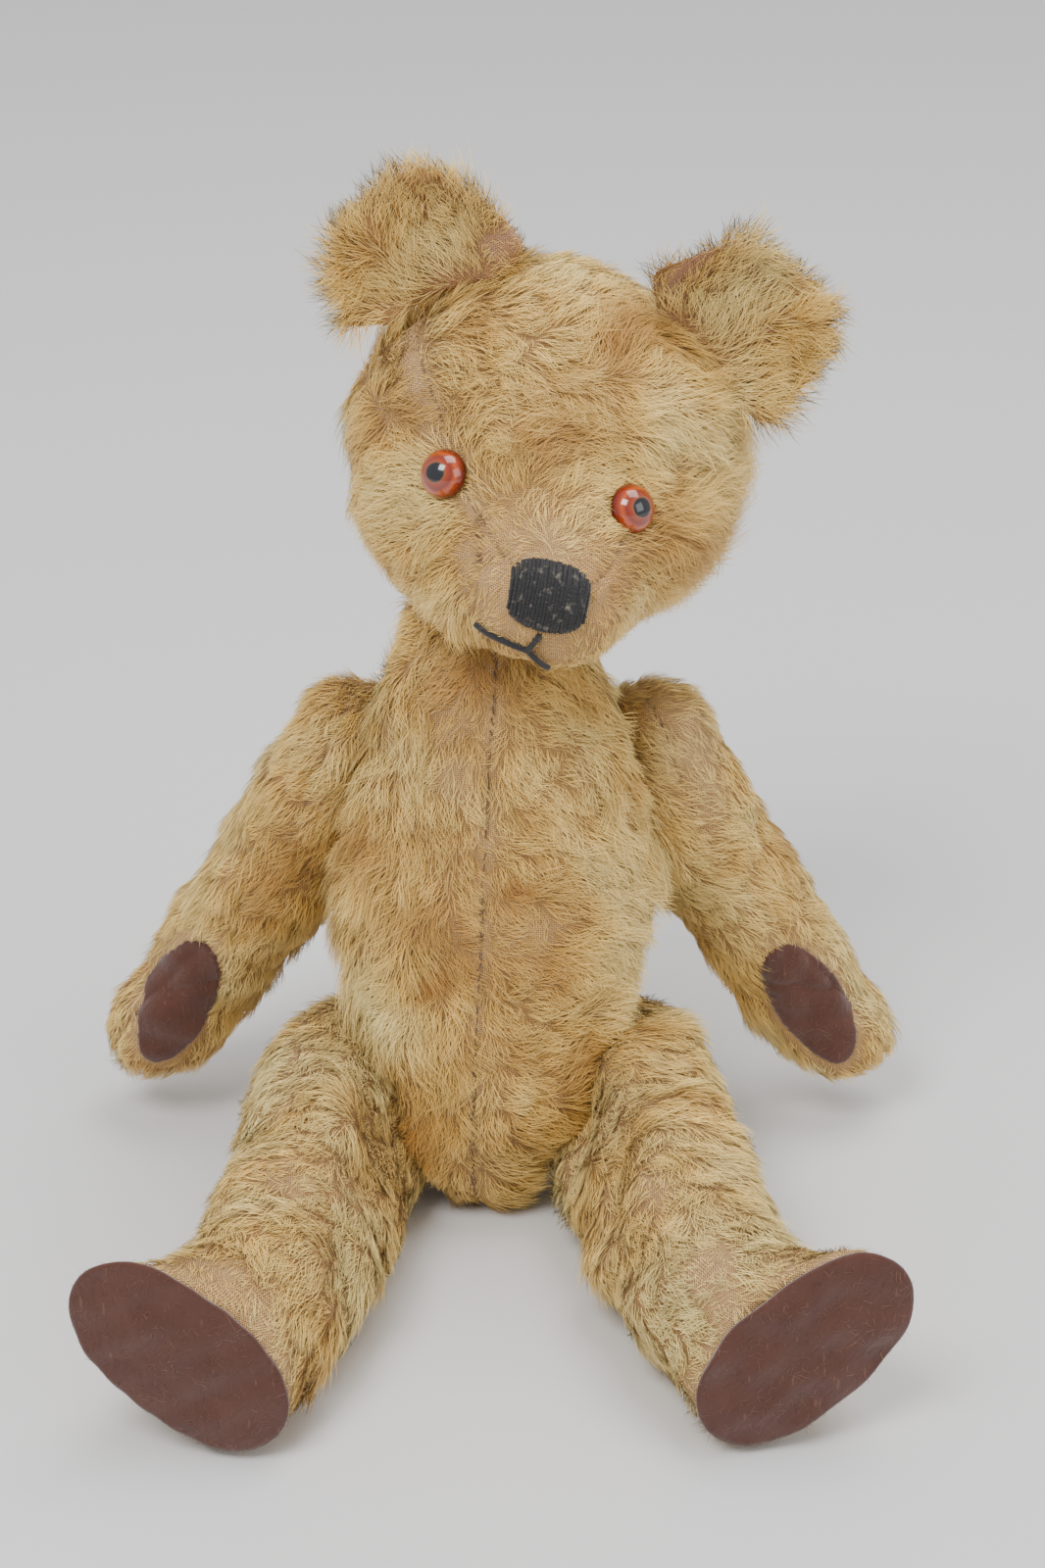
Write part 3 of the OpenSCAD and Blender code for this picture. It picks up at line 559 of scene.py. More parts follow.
def makeStrandTree():
    tree = bpy.data.node_groups.new("mohairStrands", "GeometryNodeTree")
    for name, kind, start in (
        ("Cloth", "NodeSocketGeometry", None),
        ("Strands per square metre", "NodeSocketFloat", strandTree["perSquareMetre"]),
        ("Strand width", "NodeSocketFloat", strandTree["width"]),
        ("Nap jitter", "NodeSocketFloat", strandTree["jitter"]),
        ("Lock size", "NodeSocketFloat", strandTree["lockSize"]),
        ("Lock pull", "NodeSocketFloat", strandTree["lockPull"]),
        ("Seed", "NodeSocketInt", 1),
        ("Pile", "NodeSocketMaterial", None),
    ):
        socket = tree.interface.new_socket(name, in_out="INPUT", socket_type=kind)
        if start is not None:
            socket.default_value = start
    tree.interface.new_socket("Strands", in_out="OUTPUT", socket_type="NodeSocketGeometry")
    entry, leave = tree.nodes.new("NodeGroupInput"), tree.nodes.new("NodeGroupOutput")
    given = entry.outputs

    def named(name, kind="FLOAT"):
        return addNode(
            tree, "GeometryNodeInputNamedAttribute", {"Name": name}, data_type=kind
        ).outputs["Attribute"]

    def store(geometry, name, value, kind="FLOAT", domain="POINT"):
        return addNode(
            tree,
            "GeometryNodeStoreNamedAttribute",
            {"Geometry": geometry, "Name": name, "Value": value},
            data_type=kind,
            domain=domain,
        ).outputs[0]

    def chance(low, high, offset):
        seed = math1(tree, "ADD", given["Seed"], float(offset))
        return addNode(
            tree, "FunctionNodeRandomValue", {"Min": low, "Max": high, "Seed": seed}, data_type="FLOAT"
        ).outputs["Value"]

    # roots, each carrying what its strand needs
    roots = addNode(
        tree,
        "GeometryNodeDistributePointsOnFaces",
        {
            "Mesh": given["Cloth"],
            "Density": math1(tree, "MULTIPLY", named("furDensity"), given["Strands per square metre"]),
            "Seed": given["Seed"],
        },
        distribute_method="RANDOM",
    )
    points = roots.outputs["Points"]
    place = addNode(tree, "GeometryNodeInputPosition").outputs[0]
    index = addNode(tree, "GeometryNodeInputIndex").outputs[0]
    points = store(points, "rootAt", place, "FLOAT_VECTOR")
    points = store(points, "rootUp", roots.outputs["Normal"], "FLOAT_VECTOR")
    points = store(points, "strandNumber", index, "INT")
    points = store(points, "strandTint", chance(0.0, 1.0, 1))
    points = store(points, "turn", chance(-1.0, 1.0, 2))
    points = store(points, "roll", chance(-1.1, 1.1, 3))
    points = store(points, "reach", chance(0.62, 1.12, 4))
    count = addNode(tree, "GeometryNodeAttributeDomainSize", {0: points}, component="POINTCLOUD").outputs[0]

    # one ribbon, x from side to side and y from root to tip, closed to a point at the tip
    ribbon = addNode(
        tree,
        "GeometryNodeMeshGrid",
        {"Size X": 2.0, "Size Y": 1.0, "Vertices X": 2, "Vertices Y": strandTree["rows"]},
    ).outputs[0]
    cell = addNode(
        tree, "ShaderNodeSeparateXYZ", {0: addNode(tree, "GeometryNodeInputPosition").outputs[0]}
    ).outputs
    share = math1(tree, "ADD", cell[1], 0.5)
    narrow = math1(tree, "LESS_THAN", share, 0.99)
    ribbon = store(ribbon, "tip", share)
    ribbon = store(ribbon, "side", math1(tree, "MULTIPLY", cell[0], narrow))
    shut = addNode(
        tree,
        "ShaderNodeCombineXYZ",
        {0: math1(tree, "MULTIPLY", cell[0], narrow), 1: cell[1], 2: 0.0},
    ).outputs[0]
    ribbon = addNode(tree, "GeometryNodeSetPosition", {"Geometry": ribbon, "Position": shut}).outputs[0]
    ribbon = addNode(tree, "GeometryNodeMergeByDistance", {"Geometry": ribbon, "Distance": 0.001}).outputs[0]
    copies = addNode(tree, "GeometryNodeInstanceOnPoints", {"Points": points, "Instance": ribbon}).outputs[0]
    strands = addNode(tree, "GeometryNodeRealizeInstances", {0: copies}).outputs[0]

    # bend every ribbon along the nap and close the tips of a lock together
    root, up = named("rootAt", "FLOAT_VECTOR"), named("rootUp", "FLOAT_VECTOR")
    tip, side = named("tip"), named("side")
    lock = addNode(
        tree,
        "ShaderNodeTexVoronoi",
        {"Vector": root, "Scale": math1(tree, "DIVIDE", 1.0, given["Lock size"]), "Randomness": 1.0},
        feature="F1",
    ).outputs["Position"]
    lockNoise = addNode(tree, "ShaderNodeTexWhiteNoise", {"Vector": lock}, noise_dimensions="3D").outputs
    lockValue = lockNoise["Value"]
    lockTone = addNode(tree, "ShaderNodeSeparateXYZ", {0: lockNoise["Color"]}).outputs
    swing = math1(
        tree,
        "ADD",
        math1(tree, "MULTIPLY", named("turn"), given["Nap jitter"]),
        math1(tree, "MULTIPLY", math1(tree, "SUBTRACT", lockValue, 0.5), 1.1),
    )
    nap = vec(
        tree,
        "SUBTRACT",
        named("comb", "FLOAT_VECTOR"),
        vec(tree, "SCALE", up, scale=vec(tree, "DOT_PRODUCT", named("comb", "FLOAT_VECTOR"), up)),
    )
    nap = addNode(
        tree, "ShaderNodeVectorRotate", {
            "Vector": vec(tree, "NORMALIZE", nap), "Axis": up, "Angle": swing
        }, rotation_type="AXIS_ANGLE"
    ).outputs[0]
    across = vec(tree, "CROSS_PRODUCT", nap, up)
    length = math1(tree, "MULTIPLY", named("furLength"), named("reach"))
    length = math1(
        tree, "MULTIPLY", length, math1(tree, "ADD", 0.78, math1(tree, "MULTIPLY", lockTone[0], 0.44))
    )
    lift = math1(
        tree, "MULTIPLY", named("lift"), math1(tree, "ADD", 0.7, math1(tree, "MULTIPLY", lockTone[1], 0.6))
    )
    squared = math1(tree, "MULTIPLY", tip, tip)
    rise = math1(tree, "MULTIPLY", lift, math1(tree, "SUBTRACT", tip, math1(tree, "MULTIPLY", squared, 0.42)))
    run = math1(
        tree,
        "ADD",
        math1(tree, "MULTIPLY", tip, math1(tree, "SUBTRACT", 1.0, math1(tree, "MULTIPLY", lift, 0.7))),
        math1(tree, "MULTIPLY", squared, math1(tree, "MULTIPLY", lift, 0.35)),
    )
    moved = vec(tree, "ADD", root, vec(tree, "SCALE", up, scale=math1(tree, "MULTIPLY", length, rise)))
    moved = vec(tree, "ADD", moved, vec(tree, "SCALE", nap, scale=math1(tree, "MULTIPLY", length, run)))
    toLock = vec(tree, "SUBTRACT", lock, root)
    toLock = vec(tree, "SUBTRACT", toLock, vec(tree, "SCALE", up, scale=vec(tree, "DOT_PRODUCT", toLock, up)))
    pull = math1(tree, "MULTIPLY", given["Lock pull"], math1(tree, "POWER", tip, 1.4))
    moved = vec(tree, "ADD", moved, vec(tree, "SCALE", toLock, scale=pull))
    wave = math1(
        tree,
        "SINE",
        math1(tree, "ADD", math1(tree, "MULTIPLY", tip, 4.2), math1(tree, "MULTIPLY", named("turn"), 3.0)),
    )
    moved = vec(
        tree, "ADD", moved, vec(
            tree,
            "SCALE",
            across,
            scale=math1(
                tree, "MULTIPLY", wave, math1(tree, "MULTIPLY", math1(tree, "MULTIPLY", length, tip), 0.08)
            ),
        )
    )
    roll = named("roll")
    edge = vec(
        tree,
        "ADD",
        vec(tree, "SCALE", across, scale=math1(tree, "COSINE", roll)),
        vec(tree, "SCALE", up, scale=math1(tree, "SINE", roll)),
    )
    half = math1(
        tree,
        "MULTIPLY",
        math1(tree, "MULTIPLY", given["Strand width"], 0.5),
        math1(tree, "SUBTRACT", 1.0, math1(tree, "MULTIPLY", tip, 0.6)),
    )
    moved = vec(tree, "ADD", moved, vec(tree, "SCALE", edge, scale=math1(tree, "MULTIPLY", half, side)))
    moved = vec(tree, "MAXIMUM", moved, (-9.0, -9.0, strandTree["floorGap"]))
    strands = addNode(tree, "GeometryNodeSetPosition", {"Geometry": strands, "Position": moved}).outputs[0]
    tint = math1(
        tree,
        "ADD",
        math1(tree, "MULTIPLY", named("strandTint"), 0.55),
        math1(tree, "MULTIPLY", lockTone[2], 0.45),
    )
    strands = store(strands, "strandTint", tint)

    # each strand has its own small cell for baking
    perRow = math1(tree, "CEIL", math1(tree, "SQRT", count))
    number = named("strandNumber", "INT")
    column = math1(tree, "MODULO", number, perRow)
    line = math1(tree, "FLOOR", math1(tree, "DIVIDE", math1(tree, "ADD", number, 0.5), perRow))
    u = math1(
        tree,
        "DIVIDE",
        math1(tree, "ADD", math1(tree, "ADD", column, 0.5), math1(tree, "MULTIPLY", side, 0.36)),
        perRow,
    )
    v = math1(
        tree,
        "DIVIDE",
        math1(tree, "ADD", math1(tree, "ADD", line, 0.12), math1(tree, "MULTIPLY", tip, 0.76)),
        perRow,
    )
    strands = store(
        strands, "OFBake", addNode(
            tree, "ShaderNodeCombineXYZ", {0: u, 1: v, 2: 0.0}
        ).outputs[0], "FLOAT2", "CORNER"
    )
    for name in (
        "rootAt",
        "strandNumber",
        "turn",
        "roll",
        "reach",
        "side",
        "comb",
        "furLength",
        "furDensity",
        "lift",
        "seam",
        "bare",
        "stain",
        "UVMap",
    ):
        strands = addNode(tree, "GeometryNodeRemoveAttribute", {"Geometry": strands, "Name": name}).outputs[0]
    strands = addNode(
        tree, "GeometryNodeSetMaterial", {"Geometry": strands, "Material": given["Pile"]}
    ).outputs[0]
    strands = addNode(tree, "GeometryNodeSetShadeSmooth", {"Geometry": strands}).outputs[0]
    tree.links.new(strands, leave.inputs[0])
    return tree


strandNodes = makeStrandTree()


def setInput(modifier, name, value):
    for item in modifier.node_group.interface.items_tree:
        if item.item_type == "SOCKET" and item.in_out == "INPUT" and item.name == name:
            modifier[item.identifier] = value


def growPile(name, cloth, body, keep, seed, **values):
    # strands on the faces of the cloth that keep() picks, as one plain mesh
    mesh = cloth.data.copy()
    middle = np.empty(len(mesh.polygons) * 3)
    mesh.polygons.foreach_get("center", middle)
    chosen = keep(middle.reshape(-1, 3))
    bm = bmesh.new()
    bm.from_mesh(mesh)
    bm.faces.ensure_lookup_table()
    bmesh.ops.delete(bm, geom=[bm.faces[i] for i in np.flatnonzero(~chosen)], context="FACES")
    bm.to_mesh(mesh)
    bm.free()
    mesh.materials.clear()
    piece = newPiece(name, mesh)
    modifier = piece.modifiers.new("strands", "NODES")
    modifier.node_group = strandNodes
    setInput(modifier, "Seed", seed)
    setInput(modifier, "Pile", pile)
    for key, value in values.items():
        setInput(modifier, key, value)
    applied(piece)
    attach(piece, body)
    print(name, len(piece.data.polygons), "faces")
    return piece


# shared cloth builder
cloth = {
    "voxel": 0.0021,
    "smoothing": 26,
    "lump": 0.0009,
    "fine": 0.00025,
    "seamDip": 0.0011,
    "seamHalfWidth": 0.0016,
    "thinning": 0.86,  # share of the pile lost where the cloth is bare
    "shortest": 0.42,  # share of the length that stays there
    "fill": 0.85,
}


def middleOf(node):
    low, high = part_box(node)
    return (np.array(low) + np.array(high)) / 2


def blendTo(a, b, share):
    return a + (b - a) * np.clip(share, 0, 1)[:, None]


def toward(*direction):
    return np.array(direction, dtype=float) / np.linalg.norm(direction)


def makeCloth(
    name, body, nodes, panels, fields, seed, material=None, voxel=None, smoothing=None, stands=None
):
    piece = roundedCopy(name, nodes, voxel or cloth["voxel"], smoothing or cloth["smoothing"])
    at, up = pointsOf(piece.data)
    seam = seamDistance(at, panels) if len(panels) > 1 else np.full(len(at), 1.0)
    got = fields(at, up, seam)
    push = cloth["lump"] * ripple(at, 0.030, seed) + cloth["fine"] * ripple(at, 0.010, seed + 1)
    push -= cloth["seamDip"] * np.exp(-((seam / cloth["seamHalfWidth"]) ** 2))
    push += got.get("push", 0.0)
    moved = at + up * push[:, None]
    moved[:, 2] = np.maximum(moved[:, 2], 0.0)
    setPoints(piece.data, moved)
    base = {
        "furLength": np.full(len(at), 0.009),
        "lift": np.full(len(at), 0.45),
        "tone": 0.35 * ripple(at, 0.055, seed + 2) + 0.25 * ripple(at, 0.022, seed + 3),
        "bare": np.zeros(len(at)),
        "stain": np.zeros(len(at)),
    }
    base.update({k: v for k, v in got.items() if k in base})
    swirl = np.stack(
        [ripple(at, 0.050, seed + k) + 0.5 * ripple(at, 0.018, seed + k + 3) for k in (4, 5, 6)], axis=1
    )
    comb = flat(flat(got["comb"], up) + 0.30 * swirl * got.get("swirl", np.ones(len(at)))[:, None], up)
    thin = np.clip(1.0 - cloth["thinning"] * base["bare"], 0, 1)
    kept = cloth["shortest"] + (1 - cloth["shortest"]) * thin
    base["furLength"] = base["furLength"] * (1 + 0.2 * ripple(at, 0.026, seed + 7)) * kept
    setField(piece.data, "comb", comb)
    setField(piece.data, "seam", seam)
    setField(piece.data, "furDensity", thin * np.clip(1.0 + 0.15 * ripple(at, 0.018, seed + 8), 0.5, 1.3))
    for key, values in base.items():
        setField(piece.data, key, values)
    piece.data.materials.clear()
    piece.data.materials.append(material or backing)
    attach(piece, body)
    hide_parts(*(stands or nodes))
    print(name, len(piece.data.polygons), "faces")
    return piece


# felt
feltPiece = {
    "lump": 0.00022,
    "fuzzPerSquareMetre": 2.4e5,
    "fuzzLength": 0.0034,
    "soleThick": 0.0018,
    "padRise": 0.0013,
    "soleBulge": 0.0012,
    "soleRings": 26,
    "soleSpokes": 112,
    "outlineWaves": 4,
    "soleCut": (0.041, 0.071),
}


def domeFaces(rings, spokes):
    # a fan at the first point, bands between the rings, and one face that closes the foot
    faces = [(0, 1 + j, 1 + (j + 1) % spokes) for j in range(spokes)]
    for k in range(rings - 1):
        for j in range(spokes):
            a, b = 1 + k * spokes + j, 1 + k * spokes + (j + 1) % spokes
            faces.append((a, a + spokes, b + spokes, b))
    faces.append(tuple(1 + (rings - 1) * spokes + j for j in reversed(range(spokes))))
    return faces


def closedMesh(name, points, faces):
    mesh = bpy.data.meshes.new(name)
    mesh.from_pydata([tuple(p) for p in points], [], faces)
    bm = bmesh.new()
    bm.from_mesh(mesh)
    bmesh.ops.recalc_face_normals(bm, faces=bm.faces)
    bm.to_mesh(mesh)
    bm.free()
    return mesh


def makeFuzzMaterial():
    material, tree, shader = newMaterial("feltFuzz", 0.8, **{"Sheen Weight": 0.3, "Specular IOR Level": 0.2})
    tone = ramp(tree, attribute(tree, "strandTint"), [(0.2, (0.09, 0.035, 0.024)), (1.0, (0.26, 0.14, 0.10))])
    tree.links.new(tone, shader.inputs["Base Color"])
    return material


feltFuzz = makeFuzzMaterial()


def finishFelt(piece, node, body, seed):
    at, up = pointsOf(piece.data)
    setField(piece.data, "comb", flat(np.stack([ripple(at, 0.004, seed + k) for k in (1, 2, 3)], axis=1), up))
    for field, value in (
        ("furLength", feltPiece["fuzzLength"]), ("lift", 0.25), ("furDensity", 1.0), ("tone", 0.0)
    ):
        setField(piece.data, field, np.full(len(at), value))
    piece.data.polygons.foreach_set("use_smooth", [True] * len(piece.data.polygons))
    piece.data.materials.clear()
    piece.data.materials.append(felt)
    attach(piece, body)
    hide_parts(node)
    fuzz = growPile(
        f"{piece.name}Fuzz",
        piece,
        body,
        lambda c: c[:, 0] > -9,
        seed + 4,
        **{
            "Strands per square metre": feltPiece["fuzzPerSquareMetre"],
            "Strand width": 0.00012,
            "Nap jitter": 3.0,
            "Lock pull": 0.0,
            "Pile": feltFuzz,
        },
    )


def makeSole(side, hip):
    # a flat oval of felt with a smooth edge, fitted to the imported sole
    points = cadSoup(f"sole_{side}")[0]
    middle = points.mean(0)
    out = np.linalg.svd(points - middle)[2][2]
    out = out * np.sign(out @ (middle - hip))
    first = toward(*np.cross(out, (0, 0, 1)))
    second = np.cross(out, first)
    x, y, high = (points - middle) @ first, (points - middle) @ second, (points - middle) @ out
    turn = np.arctan2(y, x)
    edge = np.linspace(-math.pi, math.pi, 60, endpoint=False)
    radius = [
        np.hypot(x, y)[np.abs((turn - t + math.pi) % (2 * math.pi) - math.pi) < 0.12].max() for t in edge
    ]
    waves = np.fft.rfft(radius)
    waves[feltPiece["outlineWaves"] + 1 :] = 0
    level = high.max()
    rings, spokes = feltPiece["soleRings"], feltPiece["soleSpokes"]
    smoothEdge = np.interp(
        np.linspace(-math.pi, math.pi, spokes, endpoint=False), np.append(edge, math.pi), np.append(
            np.fft.irfft(waves, 60), np.fft.irfft(waves, 60)[0]
        )
    )
    made = [middle + out * (level + feltPiece["soleBulge"])]
    rim = [(k / rings, feltPiece["soleBulge"] * (1 - (k / rings) ** 2)) for k in range(1, rings + 1)]
    rim += [(1.008, -feltPiece["soleThick"] * 0.5), (0.99, -feltPiece["soleThick"] * 1.1)]
    for share, rise in rim:
        for j in range(spokes):
            t = -math.pi + 2 * math.pi * j / spokes
            flatAt = (first * math.cos(t) + second * math.sin(t)) * smoothEdge[j] * share
            made.append(middle + flatAt + out * (level + rise))
    mesh = closedMesh(f"sole{side.capitalize()}", made, domeFaces(len(rim), spokes))
    at, _ = pointsOf(mesh)
    moved = at + out * (feltPiece["lump"] * 1.5 * ripple(at, 0.014, 310))[:, None]
    moved[:, 2] = np.maximum(moved[:, 2], 0.0)
    setPoints(mesh, moved)
    finishFelt(newPiece(mesh.name, mesh), f"sole_{side}", f"leg_{side}", 310)


# torso
torso = {
    "seamTop": (11.5, 30.0, 165.0),
    "seamFoot": (1.5, -34.0, 30.0),
    "length": 0.0095,
    "bareSpots": [
        (16, -21, 101, 8, 0.8), (26, -18, 102, 6, 0.6), (-6, -5, 146, 8, 0.7), (-9, 2, 160, 8, 0.6),
        (-31, -10, 93, 11, 0.55), (-27, -20, 50, 8, 0.5), (-22, 8, 150, 9, 0.5), (-5, -30, 29, 7, 0.5),
    ],
    "brownSpots": [
        (-15, -22, 87, 5, 1.6),
        (10, -17, 116, 4, 1.3),
        (-17, -28, 36, 10, 0.7),
        (22, -8, 128, 14, 0.6),
        (-20, 0, 128, 12, 0.5),
    ],
}


def torsoFields(at, up, seam):
    top, foot = (np.array(torso[k]) * mm for k in ("seamTop", "seamFoot"))
    share = np.clip((at[:, 2] - foot[2]) / (top[2] - foot[2]), 0, 1)
    aside = at[:, 0] - (foot[0] + (top[0] - foot[0]) * share)
    front = np.clip(-up[:, 1] * 2 + 0.4, 0, 1)
    down = toward(0, -0.2, -1)
    rightNap = blendTo(toward(0.75, 0, -0.66), toward(1, 0.1, -0.16), 1.3 - 1.6 * share)
    leftNap = blendTo(toward(0.35, 0, -0.94), toward(-0.7, 0.1, -0.7), -aside / 0.035 - 0.4)
    comb = blendTo(leftNap, rightNap, aside / 0.006 + 0.5)
    comb = blendTo(np.broadcast_to(down, comb.shape), comb, front)
    worn = np.where(aside > 0, 1, 0.3) * np.exp(-((seam / 0.0042) ** 2)) * front
    strip = np.exp(-((seam / cloth["seamHalfWidth"]) ** 2)) + worn
    bare = np.clip(np.maximum(strip * 0.95, near(at, torso["bareSpots"])), 0, 1)
    flank = np.clip(np.abs(aside) / 0.034 - 0.55, 0, 1)
    tone = 0.40 * ripple(at, 0.050, 11) + 0.26 * ripple(at, 0.022, 12) - 0.55 * flank
    tone += near(at, torso["brownSpots"])
    return {
        "comb": comb,
        "bare": bare,
        "tone": tone,
        "furLength": torso["length"] * (0.78 + 0.95 * flank + 0.12 * (1 - share)),
        "lift": 0.34 + 0.30 * flank,
    }


torsoNodes = ("torso_skin_left", "torso_skin_right", "torso_stuffing")
torsoCloth = makeCloth("torsoCloth", "torso", torsoNodes, torsoNodes[:2], torsoFields, 10)
seamX = (torso["seamTop"][0] + torso["seamFoot"][0]) / 2 * mm
growPile("torsoPileLeft", torsoCloth, "torso", lambda c: c[:, 0] >= seamX, 1)
growPile("torsoPileRight", torsoCloth, "torso", lambda c: c[:, 0] < seamX, 2)

# head
head = {
    "length": 0.0092,
    "noseReach": 0.030,  # short worn pile this far round the nose
    "bareSpots": [
        (-20, 38, 269, 5), (-19, 31, 267, 5), (-19, 25, 264, 5),
        (-18, 20, 260, 5), (-17, 15, 257, 5), (-14, 9, 249, 5),
        (71, 28, 242, 5, 0.9), (68, 22, 240, 5, 0.9), (65, 16, 238, 5, 0.9), (61, 10, 236, 5, 0.8),
        (3, -27, 219, 7, 0.85), (-3, -15, 220, 6, 0.7), (8, -17, 228, 8, 0.55),
        (19, -34, 196, 11, 0.9), (8, -30, 203, 7, 0.6),
    ],
    "brownSpots": [(24, 4, 258, 15, 0.9), (13, -1, 248, 10, 0.8), (34, 9, 262, 10, 0.7), (0, 2, 262, 9, 0.4)],
    "stainSpots": [(0, -11, 229, 1.6, 0.8), (0, -14, 226, 1.6), (0, -16, 224, 1.4, 0.7), (0, -19, 221, 2.0)],
}
headNodes = ("head_gusset", "head_side_left", "head_side_right", "head_stuffing")
noseAt = middleOf("nose_stitching")
headAt = middleOf("head_stuffing")
earFeet = []
for side in sides:
    earPoints = cadSoup(f"ear_{side}_front")[0]
    earFeet.append((*(earPoints[earPoints[:, 2].argmin()] / mm), 13))


def headFields(at, up, seam):
    away = at - (noseAt + np.array((0, 0.01, 0.004)))
    reach = np.linalg.norm(at - noseAt, axis=1)
    height = (at[:, 2] - headAt[2]) / 0.05
    face = np.clip(-up[:, 1] * 2 + 0.3, 0, 1)
    cheek = blendTo(
        flat(away, up) + np.array((0, 0, -0.55)), np.broadcast_to(toward(0, 0.1, -1), at.shape), 1 - face
    )
    brow = blendTo(
        np.broadcast_to(toward(0.9, 0.15, -0.3), at.shape),
        np.broadcast_to(toward(0.2, 0.9, 0.1), at.shape),
        height - 0.9,
    )
    comb = blendTo(cheek, brow, (height - 0.05) * 2.2)
    jowl = np.clip((at[:, 0] - headAt[0]) / 0.03 - 0.55, 0, 1) * np.clip(1.0 - height, 0, 1)
    jowl += 0.45 * np.clip((headAt[0] - at[:, 0]) / 0.03 - 0.7, 0, 1) * np.clip(0.5 - height, 0, 1)
    earFoot = near(at, [tuple(p) for p in earFeet])
    muzzle = np.clip(1.35 - reach / head["noseReach"], 0, 1)
    seamBare = np.exp(-((seam / 0.0022) ** 2)) * 0.9
    bare = np.clip(np.maximum(np.maximum(seamBare, muzzle * 0.75), near(at, head["bareSpots"])), 0, 1)
    return {
        "comb": comb,
        "bare": bare,
        "tone": 0.30 * ripple(at, 0.045, 31) + 0.25 * ripple(at, 0.02, 32) - 0.25 * np.clip(
            np.abs(at[:, 0] - headAt[0]) / 0.05 - 0.4, 0, 1
        ) + near(at, head["brownSpots"]),
        "furLength": head["length"] * (1 - 0.6 * muzzle) * (1 + 1.0 * jowl) * (1 + 0.6 * earFoot),
        "lift": 0.42 - 0.15 * muzzle + 0.2 * jowl + 0.3 * earFoot,
        "stain": near(at, head["stainSpots"]),
    }


headCloth = makeCloth("headCloth", "head", headNodes, headNodes[:3], headFields, 30)
growPile("headPileLeft", headCloth, "head", lambda c: c[:, 0] >= headAt[0], 3)
growPile("headPileRight", headCloth, "head", lambda c: c[:, 0] < headAt[0], 4)

# ears
ear = {
    "length": 0.0120,
    "rootBare": 0.012,
    "bareSpots": [
        (10, 35, 297, 5), (6, 40, 293, 5, 0.8), (63, 34, 292, 5), (59, 36, 287, 5), (56, 37, 282, 5)
    ],
}


def makeEar(side):
    nodes = (f"ear_{side}_front", f"ear_{side}_back")
    centre = middleOf(nodes[0])
    root = centre + (headAt - centre) / np.linalg.norm(headAt - centre) * 0.018

    def earFields(at, up, seam):
        out = at - root
        reach = np.linalg.norm(out, axis=1)
        inner = np.clip(-up[:, 1] * 2 + 0.2, 0, 1)
        innerSide = np.clip(0.5 - outward[side] * (at[:, 0] - root[0]) / 0.02, 0, 1)
        bare = np.clip(1.5 - reach / ear["rootBare"], 0, 1) * inner * (0.4 + 0.6 * innerSide)
        bare = np.maximum(bare, near(at, ear["bareSpots"]))
        comb = flat(out, up) + np.array((0.25, 0, -0.1)) * inner[:, None]
        return {
            "comb": comb,
            "bare": bare,
            "furLength": np.full(len(at), ear["length"]),
            "lift": np.full(len(at), 0.42),
            "tone": 0.35 * ripple(at, 0.03, 51) - 0.35,
        }

    name = f"ear{side.capitalize()}"
    piece = makeCloth(f"{name}Cloth", "head", nodes, (), earFields, 50, earBacking, 0.0014, 8)
    growPile(f"{name}Pile", piece, "head", lambda c: c[:, 0] > -9, 5 + sides.index(side))


for side in sides:
    makeEar(side)

# arms and legs
limb = {
    "armPale": 0.35,
    "legPale": 0.65,
    "noPile": 1.2,  # bare enough that no strand grows under the felt
    "armLength": 0.0082,
    "legLength": 0.0090,
    "armBare": {
        "left": [
            (59, 29, 148, 11, 0.8),
            (66, 22, 136, 13, 0.85),
            (71, 21, 126, 12, 0.7),
            (70, 36, 144, 11, 0.6),
            (90, 20, 100, 10, 0.4),
        ],
        "right": [(-62, 34, 135, 9, 0.5), (-80, 25, 105, 11, 0.45), (-90, 22, 85, 10, 0.35)],
    },
    "legBare": {
        "left": [(65, -121, 48, 11, 0.9), (67, -131, 45, 9, 0.9), (50, -85, 54, 10, 0.4)],
        "right": [
            (-53, -84, 56, 9, 0.5), (-38, -75, 46, 10, 0.5), (-69, -131, 52, 9, 0.9), (-59, -136, 42, 9, 0.9)
        ],
    },
}


# felt oval on the inner face of each paw: middle, long axis and half sizes in mm
pawOval = {
    "left": {"middle": (104, 26, 50), "long": (24, 0, -41), "half": (25, 11)},
    "right": {"middle": (-95.5, 26, 50), "long": (-19, 0, -41), "half": (24, 10.5)},
}


def ovalLevel(at, up, side):
    # below 1 inside the oval, and large on the side of the paw that faces away
    spot = pawOval[side]
    long = toward(*spot["long"])
    across = toward(*np.cross(long, (0, 1, 0)))
    off = at - np.array(spot["middle"]) * mm
    level = np.hypot(off @ long / (spot["half"][0] * mm), off @ across / (spot["half"][1] * mm))
    return np.where(up[:, 1] < 0.25, level, 9.0)


